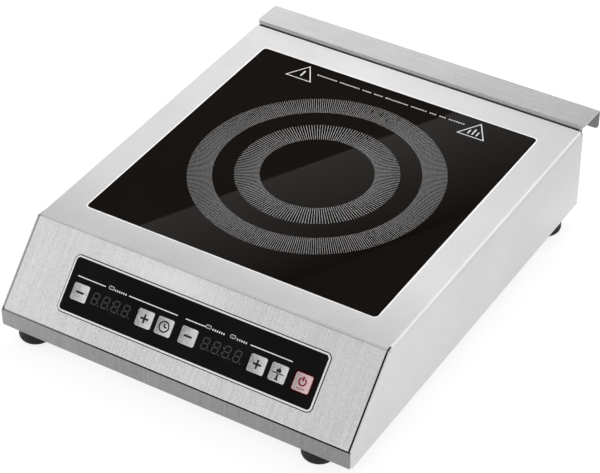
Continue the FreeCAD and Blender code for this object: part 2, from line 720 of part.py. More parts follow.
def mica_sheet():
    sheet = cylinder(FORMER_RADIUS, COIL_TOP + 0.1, COIL_TOP + 0.9, 0, GLASS_Y)
    return sheet.cut(cylinder(6.5, 0, TOP, 0, GLASS_Y))


def temperature_sensor():
    """Sensor cup pressed against the middle of the glass, on a holder that fills the former's hole."""
    holder = cylinder(9.8, FORMER_UNDER, FORMER_UNDER + 4.0, 0, GLASS_Y)
    cup = cylinder(5.5, FORMER_UNDER + 4.0, GLASS_UNDER - 0.1, 0, GLASS_Y)
    return holder.fuse(cup)


def coil_posts():
    posts = []
    for x, y in coil_post_places():
        post = cylinder(4.0, INSIDE, FORMER_UNDER, x, y)
        posts.append(post.cut([cylinder(1.4, INSIDE - 1.0, INSIDE + 9.0, x, y),
                               cylinder(1.4, FORMER_UNDER - 9.0, FORMER_UNDER + 1.0, x, y)]))
    return compound(posts)


def coil_screws():
    """One screw into the top of each post through the former, one into its foot through the base."""
    upper = placed(pan_screw(1.4, 2.8, 1.8, 3.0 + FORMER_THICKNESS), FreeCAD.Rotation(vector(1, 0, 0), 180))
    lower = pan_screw(1.4, 2.8, 1.8, 8.0)
    above = screws_from_below(coil_post_places(), FORMER_UNDER + FORMER_THICKNESS, upper)
    below = screws_from_below(coil_post_places(), FLOOR, lower)
    return compound(above.Solids + below.Solids)


# ---- Power electronics ----
def power_board():
    board = rounded_box(180.0, 146.0, POWER_BOARD_UNDER, POWER_BOARD_TOP, 2.0, 0.0, 31.0)
    return board.cut([cylinder(1.6, 0, TOP, x, y) for x, y in power_board_posts()])


def board_standoffs():
    posts = []
    for x, y in power_board_posts():
        post = cylinder(3.5, INSIDE, POWER_BOARD_UNDER, x, y)
        posts.append(post.cut(cylinder(1.4, INSIDE - 1.0, POWER_BOARD_UNDER + 1.0, x, y)))
    return compound(posts)


def board_screws():
    """Screws of the power board, top and bottom of each standoff, and of the control board."""
    upper = placed(pan_screw(1.35, 2.8, 1.8, 3.5 + BOARD), FreeCAD.Rotation(vector(1, 0, 0), 180))
    lower = pan_screw(1.35, 2.8, 1.8, 4.0)
    screws = screws_from_below(power_board_posts(), POWER_BOARD_TOP, upper).Solids
    screws += screws_from_below(power_board_posts(), FLOOR, lower).Solids
    panel_screw = pan_screw(1.4, 2.8, 1.8, 5.0)
    screws += [on_slope(placed(panel_screw, FreeCAD.Rotation(), x, v, BOARD_FACE - BOARD))
               for x, v in control_board_posts()]
    return compound(screws)


def heat_sink():
    """Finned extrusion over the power semiconductors, on two rails; its fins run front to back."""
    x_low, x_high, y_low, y_high = -74.0, 16.0, -30.0, 50.0
    base_low = POWER_BOARD_TOP + 5.4
    body = box(x_low, x_high, y_low, y_high, base_low, base_low + 5.0)
    rails = [box(x_low, x_low + 4.0, y_low, y_high, POWER_BOARD_TOP, base_low),
             box(x_high - 4.0, x_high, y_low, y_high, POWER_BOARD_TOP, base_low)]
    fins = 13
    pitch = (x_high - x_low - 2.0) / (fins - 1)
    fin_starts = [x_low + k * pitch for k in range(fins)]
    fin_walls = [box(x, x + 2.0, y_low, y_high, base_low + 5.0, base_low + 32.0) for x in fin_starts]
    return body.fuse(rails + fin_walls)


def semiconductor(length, depth, x, y, lead_count):
    """Flat power package under the heat sink, with its leads bent into the board."""
    z_low = POWER_BOARD_TOP + 0.4
    z_high = POWER_BOARD_TOP + 5.4
    package = rounded_box(length, depth, z_low, z_high, 0.6, x, y)
    leads = []
    spread = 5.45
    edge = y - depth / 2
    for k in range(lead_count):
        left = x + (k - (lead_count - 1) / 2) * spread - 0.6
        right = left + 1.2
        leads.append(box(left, right, edge - 4.0, edge, z_low + 1.0, z_low + 1.6))
        leads.append(box(left, right, edge - 4.0, edge - 3.4, POWER_BOARD_TOP, z_low + 1.6))
    return package.fuse(leads)


def power_transistors():
    return compound([semiconductor(15.9, 21.0, -50.0, 0.0, 3), semiconductor(15.9, 21.0, -22.0, 0.0, 3)])


def bridge_rectifier():
    return semiconductor(30.0, 20.0, -36.0, 32.0, 4)


def filter_choke():
    """Toroid core standing on the board, with its turns of wire."""
    core_radius, tube_radius, wire = 13.0, 5.0, 0.8
    x, y = -50.0, 78.0
    z = POWER_BOARD_TOP + core_radius + tube_radius + 2 * wire + 0.5
    core = Part.makeTorus(core_radius, tube_radius, vector(0, 0, 0), vector(0, 1, 0))
    pieces = [core]
    turns = 18
    for k in range(turns):
        angle = (k + 0.5) * 2 * math.pi / turns
        centre = vector(core_radius * math.cos(angle), 0, core_radius * math.sin(angle))
        along = vector(-math.sin(angle), 0, math.cos(angle))
        pieces.append(Part.makeTorus(tube_radius + wire + 0.1, wire, centre, along))
    lowest = -(core_radius + tube_radius + 2 * wire + 0.1)
    stand = box(-9.0, 9.0, -5.0, 5.0, lowest - 0.4, lowest)
    return compound(placed(piece, FreeCAD.Rotation(), x, y, z) for piece in pieces + [stand])


def film_capacitors():
    places = ((42.0, -24.0, 31.0, 18.0, 30.0), (42.0, 0.0, 31.0, 18.0, 30.0), (48.0, 30.0, 42.0, 22.0, 34.0))
    blocks = []
    for x, y, length, depth, height in places:
        block = rounded_box(length, depth, POWER_BOARD_TOP, POWER_BOARD_TOP + height, 1.5, x, y)
        crest = [edge for edge in block.Edges if edge.BoundBox.ZMin > POWER_BOARD_TOP + height - 0.1]
        blocks.append(block.makeFillet(0.8, crest))
    return compound(blocks)


def auxiliary_transformer():
    """Small switching transformer: ferrite halves round a wound bobbin."""
    x, y, z = 55.0, 78.0, POWER_BOARD_TOP
    bobbin = rounded_box(30.0, 24.0, z, z + 4.0, 1.0, x, y)
    winding = rounded_box(20.0, 20.0, z + 4.0, z + 20.0, 4.0, x, y)
    yoke = box(x - 15.0, x + 15.0, y - 5.0, y + 5.0, z + 20.0, z + 25.0)
    legs = [box(x - 15.0, x - 11.0, y - 5.0, y + 5.0, z + 4.0, z + 20.0),
            box(x + 11.0, x + 15.0, y - 5.0, y + 5.0, z + 4.0, z + 20.0)]
    return bobbin.fuse([winding, yoke] + legs)


def terminal_block():
    """Three-way mains terminal block on the base, beside the gland."""
    x, y, z = -128.0, 140.0, INSIDE
    body = rounded_box(34.0, 22.0, z, z + 12.0, 1.0, x, y)
    ridges = [box(x - 17.0 + k * 11.0, x - 16.0 + k * 11.0, y - 11.0, y + 11.0, z + 11.0, z + 17.0)
              for k in range(4)]
    wells = [cylinder(3.0, z + 8.0, z + 20.0, x - 11.0 + k * 11.0, y + side * 5.5)
             for k in range(3) for side in (-1, 1)]
    return body.fuse(ridges).cut(wells)


# ---- Fans ----
def fan_frame(x, y):
    """Square fan frame with a round duct, screw ears and a motor seat held by four struts."""
    z_high = INSIDE + FAN_THICKNESS
    frame = rounded_box(FAN_SIZE, FAN_SIZE, INSIDE, z_high, 4.0)
    duct = cylinder(38.5, INSIDE - 1.0, z_high + 1.0)
    relief = cylinder(47.5, INSIDE + 4.0, z_high - 4.0).cut(cylinder(40.0, INSIDE, z_high))
    holes = [cylinder(2.15, INSIDE - 1.0, z_high + 1.0, dx, dy) for dx, dy in fan_screw_offsets()]
    seat = cylinder(17.0, INSIDE, INSIDE + 3.0)
    strut = box(-39.0, 39.0, -1.5, 1.5, INSIDE, INSIDE + 3.0)
    struts = [strut.rotated(vector(0, 0, 0), vector(0, 0, 1), turn) for turn in (45.0, 135.0)]
    bearing = cylinder(3.2, INSIDE + 3.0, INSIDE + 12.0)
    bore = cylinder(1.55, INSIDE + 1.5, INSIDE + 13.0)
    shell = frame.cut([duct, relief] + holes).fuse([seat, bearing] + struts).cut(bore)
    return placed(shell, FreeCAD.Rotation(), x, y)


def fan_rotor(x, y):
    """Hub cup, shaft and pitched blades, turning about its own upright axis."""
    low = INSIDE + 4.0
    high = INSIDE + FAN_THICKNESS - 1.0
    cup = cylinder(16.0, low, high).cut(cylinder(14.5, low - 1.0, high - 2.0))
    shaft = cylinder(1.5, INSIDE + 2.0, high - 1.0)
    rotor = cup.fuse(shaft)
    for k in range(BLADES):
        blade = box(15.0, 37.0, -11.0, 11.0, -0.8, 0.8)
        blade = blade.rotated(vector(0, 0, 0), vector(1, 0, 0), 38.0)
        blade = placed(blade, FreeCAD.Rotation(), z=(low + high) / 2)
        rotor = rotor.fuse(blade.rotated(vector(0, 0, 0), vector(0, 0, 1), k * 360.0 / BLADES))
    swept = cylinder(37.3, low, high).cut(cylinder(14.5, low - 1.0, high - 2.0))
    rotor = rotor.common(swept.fuse(shaft))
    return placed(rotor, FreeCAD.Rotation(), x, y)


def fan_screws():
    screw = pan_screw(2.0, 3.8, 2.2, 9.0)
    places = [(x + dx, y + dy) for x, y in fan_centres().values() for dx, dy in fan_screw_offsets()]
    return screws_from_below(places, FLOOR, screw)


# ---- Mains inlet and earth ----
def to_rear_wall(shape, x, z):
    """Stands a piece drawn upwards from z = 0 out of the rear wall's outer face."""
    return placed(shape, FACING_BACK, x, REAR, z)


def gland_body():
    collar = hexagon(22.0, 0.0, 5.0)
    thread = cylinder(8.0, -9.0, 0.0)
    neck = cylinder(8.6, 5.0, 9.0)
    return to_rear_wall(collar.fuse([thread, neck]).cut(cylinder(6.5, -10.0, 20.0)), GLAND_X, GLAND_Z)


def gland_lock_nut():
    nut = hexagon(22.0, -SHEET - 4.0, -SHEET)
    return to_rear_wall(nut.cut(cylinder(8.0, -10.0, 1.0)), GLAND_X, GLAND_Z)


def gland_cap_nut():
    """Domed clamping nut with grip ribs."""
    dome = cylinder(11.0, 5.0, 18.0)
    mouth = [edge for edge in dome.Edges if edge.BoundBox.ZMin > 17.9]
    dome = dome.makeFillet(4.0, mouth)
    ribs = [box(10.4, 11.8, -0.9, 0.9, 5.5, 12.5).rotated(vector(0, 0, 0), vector(0, 0, 1), k * 30.0)
            for k in range(12)]
    hollow = cylinder(8.6, 4.0, 9.0).fuse([cylinder(6.5, 8.0, 16.0), cylinder(5.6, 15.0, 20.0)])
    return to_rear_wall(dome.fuse(ribs).cut(hollow), GLAND_X, GLAND_Z)


def gland_bush():
    bush = cylinder(6.5, 2.0, 16.0).cut(cylinder(CORD_RADIUS, 0.0, 20.0))
    return to_rear_wall(bush, GLAND_X, GLAND_Z)


def bonding_stud():
    """Equipotential stud with a hexagonal collar and washer outside the rear wall and a nut inside it."""
    stud = cylinder(STUD_RADIUS, -STUD_INWARD, STUD_OUTWARD)
    collar = hexagon(STUD_ACROSS_FLATS, STUD_WASHER, STUD_WASHER + 5.0)
    washer = cylinder(6.0, 0.0, STUD_WASHER).cut(cylinder(STUD_RADIUS, -1.0, 3.0))
    nut = hexagon(STUD_ACROSS_FLATS, -SHEET - 5.0, -SHEET).cut(cylinder(STUD_RADIUS, -20.0, 0.0))
    return compound(to_rear_wall(piece, STUD_X, GLAND_Z) for piece in (stud.fuse(collar), washer, nut))


# ---- Internal wiring ----
def live_wire():
    return smooth_tube([(-139.0, 129.0, 21.0), (-139.0, 114.0, 21.0), (-128.0, 98.0, 29.0),
                        (-108.0, 90.0, 34.0), (-90.0, 84.0, 40.0), (-82.0, 82.0, 36.0),
                        (-82.0, 82.0, POWER_BOARD_TOP)], 1.3, "live_wire")


def neutral_wire():
    return smooth_tube([(-128.0, 129.0, 21.0), (-128.0, 117.0, 21.0), (-116.0, 102.0, 38.0),
                        (-98.0, 84.0, 44.0), (-82.0, 70.0, 38.0), (-82.0, 70.0, POWER_BOARD_TOP)],
                       1.3, "neutral_wire")


def earth_wire():
    return smooth_tube([(-117.0, 151.0, 21.0), (-117.0, 161.0, 21.0), (-100.0, 168.0, 19.0),
                        (-60.0, 169.5, 18.0), (0.0, 168.0, 18.0), (60.0, 169.5, 18.0),
                        (112.0, 167.0, 20.0), (138.0, 164.0, 26.0), (STUD_X, 168.0, GLAND_Z),
                        (STUD_X, REAR - STUD_INWARD, GLAND_Z)], 1.3, "earth_wire")


def coil_leads():
    """Both ends of the litz wire, led down to the power board."""
    height = COIL_UNDER + LITZ_RADIUS
    hole_x, hole_y = INNER_LEAD_HOLE
    inner = smooth_tube([(COIL_INNER, GLASS_Y, height), (COIL_INNER, GLASS_Y - 8.0, height),
                         (hole_x + 1.0, hole_y + 1.5, height), (hole_x - 1.0, hole_y - 3.5, 80.0),
                         (hole_x + 3.0, hole_y - 6.5, 70.0), (44.0, -20.0, 67.0), (66.0, -26.0, 66.0),
                         (80.0, -24.0, 56.0), (80.0, -24.0, POWER_BOARD_TOP)],
                        LITZ_RADIUS, "inner coil lead")
    outer_x = COIL_INNER + COIL_TURNS * COIL_PITCH
    outer = smooth_tube([(outer_x, GLASS_Y, height), (outer_x, GLASS_Y + 50.0, height),
                         (outer_x, GLASS_Y + 68.0, 74.0), (100.0, 78.0, 56.0), (82.0, 66.0, 48.0),
                         (82.0, 66.0, POWER_BOARD_TOP)], LITZ_RADIUS, "outer coil lead")
    return compound([inner, outer])


def ribbon_cable():
    """Flat ribbon from the control board down between the fans to the power board."""
    path = [(-176.0, 40.0), (-166.0, 30.0), (-150.0, 20.5), (-60.0, 20.5), (-40.0, 34.0),
            (-36.0, POWER_BOARD_TOP)]
    strip = bent_sheet(path, 14.0, bend=2.5, thickness=0.9)
    return placed(strip, FACING_X, x=16.0)


# ---- Model ----
def model():
    pieces = {
        "top_housing": top_housing(),
        "base_tray": base_tray(),
        "rear_panel": rear_panel(),
        "rear_hood": rear_hood(),
        "case_screws": case_screws(),
        "foot_screws": screws_from_below(foot_places().values(), 6.0, pan_screw(2.0, 4.2, 2.5, 13.0)),
        "glass_plate": glass_plate(),
        "glass_seal": glass_seal(),
        "joint_sealant": joint_sealant(),
        "panel_frame": panel_frame(),
        "panel_window": panel_window(),
        "tact_switches": tact_switches(),
        "indicator_lamps": indicator_lamps(),
        "control_board": control_board(),
        "control_board_standoffs": control_board_standoffs(),
        "induction_coil": induction_coil(),
        "coil_former": coil_former(),
        "ferrite_bars": ferrite_bars(),
        "mica_sheet": mica_sheet(),
        "temperature_sensor": temperature_sensor(),
        "coil_posts": coil_posts(),
        "coil_screws": coil_screws(),
        "power_board": power_board(),
        "board_standoffs": board_standoffs(),
        "board_screws": board_screws(),
        "heat_sink": heat_sink(),
        "power_transistors": power_transistors(),
        "bridge_rectifier": bridge_rectifier(),
        "filter_choke": filter_choke(),
        "film_capacitors": film_capacitors(),
        "auxiliary_transformer": auxiliary_transformer(),
        "terminal_block": terminal_block(),
        "fan_screws": fan_screws(),
        "gland_body": gland_body(),
        "gland_lock_nut": gland_lock_nut(),
        "gland_cap_nut": gland_cap_nut(),
        "gland_bush": gland_bush(),
        "bonding_stud": bonding_stud(),
        "live_wire": live_wire(),
        "neutral_wire": neutral_wire(),
        "earth_wire": earth_wire(),
        "coil_leads": coil_leads(),
        "ribbon_cable": ribbon_cable(),
    }
    for name, (x, y) in foot_places().items():
        pieces[name] = foot(x, y)
    for name, x in KEY_PLACES.items():
        pieces[name] = key(x)
    for name, x in DISPLAY_PLACES.items():
        pieces[name] = digit_display(x)
    for side, (x, y) in fan_centres().items():
        pieces["fan_frame_" + side] = fan_frame(x, y)
        pieces["fan_rotor_" + side] = fan_rotor(x, y)
    return pieces


def save(pieces):
    os.makedirs("parts", exist_ok=True)
    for name, shape in pieces.items():
        if not shape.isValid():
            print("not valid:", name)
        shape.exportStep("parts/" + name + ".step")
    print(len(pieces), "nodes")


save(model())
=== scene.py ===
import json
import math

import bmesh
import bpy
from mathutils import Matrix, Vector


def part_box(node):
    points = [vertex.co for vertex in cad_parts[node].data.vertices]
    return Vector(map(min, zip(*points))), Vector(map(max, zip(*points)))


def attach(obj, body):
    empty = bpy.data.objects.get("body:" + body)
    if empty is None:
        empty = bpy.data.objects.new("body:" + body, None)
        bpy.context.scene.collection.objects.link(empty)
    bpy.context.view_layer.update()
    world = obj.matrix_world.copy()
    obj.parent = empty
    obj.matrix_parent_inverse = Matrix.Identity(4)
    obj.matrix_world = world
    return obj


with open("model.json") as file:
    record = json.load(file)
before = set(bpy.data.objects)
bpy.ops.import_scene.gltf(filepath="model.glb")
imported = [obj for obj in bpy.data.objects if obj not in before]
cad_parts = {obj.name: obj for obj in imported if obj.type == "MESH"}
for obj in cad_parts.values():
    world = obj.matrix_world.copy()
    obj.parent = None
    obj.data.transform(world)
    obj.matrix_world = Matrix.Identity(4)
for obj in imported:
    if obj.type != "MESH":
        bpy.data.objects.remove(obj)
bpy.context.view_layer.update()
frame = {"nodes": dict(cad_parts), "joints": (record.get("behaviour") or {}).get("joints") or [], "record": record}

# Looks of a counter-top induction hob. Metres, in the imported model's frame: +X to the user's
# right, +Y to the back, +Z up. Sizes written as "n * MM" are the ones a drawing would give.
MM = 0.001
CASING = "casing"

# ---- Camera: angles in degrees, lens and sensor in millimetres ----
CAMERA_AIM = Vector((5.6, -25.0, 50.0)) * MM
CAMERA_AZIMUTH = 31.82
CAMERA_ELEVATION = 38.17
CAMERA_ROLL = -0.456
CAMERA_DISTANCE = 1917 * MM
CAMERA_LENS = 133.8
CAMERA_SENSOR = 36.0

# ---- Room light: its level, and dimmer zones by direction, with their half angles in degrees ----
ROOM_LEVEL = 0.91
ROOM_ZONES = (
    {"towards": (-0.414, 0.668, 0.618), "inner": 10, "outer": 20, "level": 0.06},
    {"towards": (-0.40, 0.05, 0.92), "inner": 8, "outer": 24, "level": 0.35},
    {"towards": (-0.414, -0.642, 0.649), "inner": 15, "outer": 45, "level": 0.80},
    {"towards": (1.0, 0.0, 0.2), "inner": 20, "outer": 75, "level": 0.72},
)

# ---- Lamps: where each stands, what it points at, its two sides and its watts ----
LAMPS = {
    "back_light": {"place": (-0.6, 1.5, 1.55), "aim": (-0.05, 0, 0.05), "sides": (1.2, 0.7), "power": 51},
    "edge_light": {"place": (1.75, 1.9, 1.2), "aim": (0, 0, 0.08), "sides": (0.4, 0.4), "power": 7},
    "left_light": {"place": (-1.2, -0.9, 0.6), "aim": (-0.1, -0.2, 0.05), "sides": (0.5, 0.3), "power": 1.3},
}
UNMIRRORED_LAMP = "back_light"   # doesn't show in the glass

# ---- Light card above the hob, by where its reflection falls round the middle of the glass ----
CARD_EDGE_FROM = Vector((-110.0, -184.0)) * MM
CARD_EDGE_TO = Vector((82.0, 184.0)) * MM
CARD_FADE = 130 * MM
CARD_HEIGHT = 1600 * MM
CARD_GLOW = 0.50
CARD_STEPS = 12

# ---- Floor ----
FLOOR_HALF_WIDTH = 4.0
FLOOR_STEPS = 8
FLOOR_DROP = 0.2 * MM         # below the soles of the feet

# ---- Steel: how much painted shade its parts get (a negative amount is painted light), as a share of its light-to-dark range ----
AWAY_PAINTED_SHADE = 1.0            # painted shade on the left side and back, which the back light falls on
# painted shade on the sides
SIDE_PAINTED_SHADE = 0.47
SIDE_REAR_PAINTED_SHADE = 0.55      # more painted shade on the sides towards the upper rear
TOP_REAR_PAINTED_SHADE = 0.60       # painted shade on the top plate's rear right corner
SLOPE_PAINTED_LIGHT = 0.80      # painted light: a paler patch of the slope above the panel's left half
TOP_FRONT_PAINTED_SHADE = 0.60      # painted shade on the strip of the top plate in front of the glass
# painted shade on the whole slope
SLOPE_PAINTED_SHADE = 0.15
CREASE_PAINTED_SHADE = 1.5          # painted shade: thin dark line where the slope begins
TOP_CREASE_PAINTED_SHADE = 1.3      # painted shade: fainter dark line where the top plate ends
# painted shade on the hood's bends and on its rear faces
HOOD_BEND_PAINTED_SHADE = 2.2
HOOD_REAR_PAINTED_SHADE = 2.0
HOOD_END_PAINTED_SHADE = 0.9        # painted shade: how much darker the hood grows along its length

# ---- Steel: where a painted shade or painted light starts and where it is complete, in the hob's own directions ----
SIDE_DEPTHS = (-150 * MM, 180 * MM)
SIDE_HEIGHTS = (20 * MM, 90 * MM)
TOP_FRONT_DEPTHS = (-80 * MM, -150 * MM)
TOP_REAR_WIDTHS = (-20 * MM, 170 * MM)
TOP_REAR_DEPTHS = (-50 * MM, 180 * MM)
RIGHT_END_WIDTHS = (-100 * MM, 170 * MM)

# ---- Steel: the slope's patch of painted light, as its middle and its reach to each side ----
PATCH_WIDTHS = (-30 * MM, 80 * MM)
PATCH_HEIGHTS = (86 * MM, 22 * MM)

# ---- Keys: painted shade and painted highlight ----
KEY_PAINTED_SHADE_EDGE = (0.15 * MM, 0.55 * MM)   # painted shade: the dark edge thins out between these distances from the side
KEY_PAINTED_HIGHLIGHT_RIM = (0.8 * MM, 0.5 * MM)      # painted highlight: bright rim, its distance from the side and its reach

# ---- Printed marks on the glass ----
RING_CENTRE = Vector((1.6, -0.9)) * MM     # from the middle of the glass
RINGS = ((90.2 * MM, 111.9 * MM, 360), (49.5 * MM, 71.4 * MM, 180))   # inner radius, outer radius, strokes
RING_FILL = 0.13              # part of the circle that the strokes cover, at their middle radius
PRINT_THICKNESS = 0.04 * MM
TRIANGLES_X = (-88.5 * MM, 88.6 * MM)
TRIANGLE_BASE = 27.5 * MM
TRIANGLE_HEIGHT = 22.5 * MM
TRIANGLE_LINE = 1.0 * MM
TRIANGLE_FROM_REAR = 4.8 * MM
TICKS_FROM_REAR = 13.4 * MM
TICK_ROWS = (9, 9, 4, 4, 10, 7, 3, 3, 7)   # ticks in each group, left to right
TICK_PITCH = 2.35 * MM
TICK_GROUP_GAP = 2.6 * MM
TICK = (1.4 * MM, 1.5 * MM)

# ---- Printed marks on the control window, across from the hob's middle and up the slope ----
LINE_RISE = 7.9 * MM          # above the middle of the window
LINE_WIDTH = 0.8 * MM
LINES = ((-112.5, -84.3), (-61.0, -13.0), (-5.2, 14.1), (56.9, 96.5))   # millimetres, start and end
WINDOW_TICK_ROWS = ((-75.7, 6), (20.2, 6), (43.6, 5))   # start in millimetres, number of ticks
WINDOW_TICK_PITCH = 2.1 * MM
WINDOW_TICK = (1.1 * MM, 1.6 * MM)
INDICATORS_X = (-78.7 * MM, 16.8 * MM, 40.1 * MM)
DIGITS = 4                    # on each display
DIGIT_PITCH = 10.16 * MM
DIGIT_WIDTH = 6.6 * MM
DIGIT_HEIGHT = 10.6 * MM
DIGIT_SLANT = 0.10
SEGMENT = 1.15 * MM
ICON_STROKE = 1.7 * MM

# A Mix node has its own sockets for each type: first input, second input and output.
COLOUR_SOCKETS = (6, 7, 2)
VECTOR_SOCKETS = (4, 5, 1)


# ======== Places, read from the frame ========
def box_middle(node):
    low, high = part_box(node)
    return (Vector(low) + Vector(high)) / 2


def vertices_of(node):
    """Places of a CAD node's vertices, in metres."""
    return [vertex.co.copy() for vertex in frame["nodes"][node].data.vertices]


class Plane:
    """A flat working frame: x across, y up it, z out of it."""

    def __init__(self, origin, across, up):
        self.origin = Vector(origin)
        self.across = Vector(across).normalized()
        self.up = Vector(up).normalized()
        self.out = self.across.cross(self.up)

    def matrix(self):
        rotation = Matrix((self.across, self.up, self.out)).transposed().to_4x4()
        return Matrix.Translation(self.origin) @ rotation

    def point(self, x, y, z):
        return self.origin + self.across * x + self.up * y + self.out * z

    def extent(self, node):
        """Lowest and highest place of a node's vertices in this plane's own directions."""
        inverse = self.matrix().inverted()
        points = [inverse @ point for point in vertices_of(node)]
        low = Vector([min(point[axis] for point in points) for axis in range(3)])
        high = Vector([max(point[axis] for point in points) for axis in range(3)])
        return low, high

    def face_middle(self, node):
        """Middle of a node's outward face."""
        low, high = self.extent(node)
        return self.point((low.x + high.x) / 2, (low.y + high.y) / 2, high.z)

    def raised(self, height):
        return Plane(self.origin + self.out * height, self.across, self.up)


def glass_plane():
    """The top face of the glass, from its middle."""
    low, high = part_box("glass_plate")
    return Plane(((low[0] + high[0]) / 2, (low[1] + high[1]) / 2, high[2]), (1, 0, 0), (0, 1, 0))


def window_plane():
    """The control window's face: its outward direction is the opposite of a key's travel."""
    joint = next(joint for joint in frame["joints"] if joint["name"] == "press_mode")
    out = -Vector(joint["axis"])
    up = out.cross(Vector((1, 0, 0)))
    middle = box_middle("panel_window")
    flat = Plane((0, middle.y, middle.z), (1, 0, 0), up)
    _, high = flat.extent("panel_window")
    return flat.raised(high.z)


# ======== Mesh pieces ========
def mesh_object(name, bm):
    """Turns a finished bmesh into an object in the scene."""
    bmesh.ops.recalc_face_normals(bm, faces=bm.faces)
    mesh = bpy.data.meshes.new(name)
    bm.to_mesh(mesh)
    bm.free()
    piece = bpy.data.objects.new(name, mesh)
    bpy.context.scene.collection.objects.link(piece)
    return piece


def add_prism(bm, outline, thickness):
    """A flat outline, x and y, given a thickness upwards from z = 0."""
    lower = [bm.verts.new((x, y, 0.0)) for x, y in outline]
    upper = [bm.verts.new((x, y, thickness)) for x, y in outline]
    bm.faces.new(lower[::-1])
    bm.faces.new(upper)
    count = len(outline)
    for index in range(count):
        following = (index + 1) % count
        bm.faces.new((lower[index], lower[following], upper[following], upper[index]))


def add_band(bm, outer, inner, thickness):
    """A closed band between two outlines that have the same number of points."""
    loops = []
    for height in (0.0, thickness):
        loops.append([bm.verts.new((x, y, height)) for x, y in outer])
        loops.append([bm.verts.new((x, y, height)) for x, y in inner])
    low_outer, low_inner, high_outer, high_inner = loops
    count = len(outer)
    for index in range(count):
        following = (index + 1) % count
        bm.faces.new((high_outer[index], high_outer[following], high_inner[following], high_inner[index]))
        bm.faces.new((low_inner[index], low_inner[following], low_outer[following], low_outer[index]))
        bm.faces.new((low_outer[index], low_outer[following], high_outer[following], high_outer[index]))
        bm.faces.new((high_inner[index], high_inner[following], low_inner[following], low_inner[index]))


def rounded_outline(x, y, length, height, radius, steps=6):
    """Outline of a rounded rectangle round (x, y)."""
    points = []
    centres = ((1, 1, 0), (-1, 1, 90), (-1, -1, 180), (1, -1, 270))
    for side_x, side_y, start in centres:
        centre_x = x + side_x * (length / 2 - radius)
        centre_y = y + side_y * (height / 2 - radius)
        for step in range(steps + 1):
            angle = math.radians(start + 90 * step / steps)
            points.append((centre_x + radius * math.cos(angle), centre_y + radius * math.sin(angle)))
    return points


def circle_outline(radius, steps=48):
    """Outline of a circle round the plane's origin."""
    angles = [2 * math.pi * step / steps for step in range(steps)]
    return [(radius * math.cos(angle), radius * math.sin(angle)) for angle in angles]


def arc_outline(x, y, inner, outer, start, end, steps=24):
    """Outline of a piece of ring, from start to end in degrees."""
    angles = [math.radians(start + (end - start) * step / steps) for step in range(steps + 1)]
    far = [(x + outer * math.cos(angle), y + outer * math.sin(angle)) for angle in angles]
    near = [(x + inner * math.cos(angle), y + inner * math.sin(angle)) for angle in reversed(angles)]
    return far + near


def flat_piece(name, plane, fill, material, body):
    """A thin printed piece on a plane; fill draws its outlines into a bmesh."""
    bm = bmesh.new()
    fill(bm, PRINT_THICKNESS)
    bmesh.ops.transform(bm, matrix=plane.matrix(), verts=bm.verts)
    piece = mesh_object(name, bm)
    piece.data.materials.append(material)
    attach(piece, body)


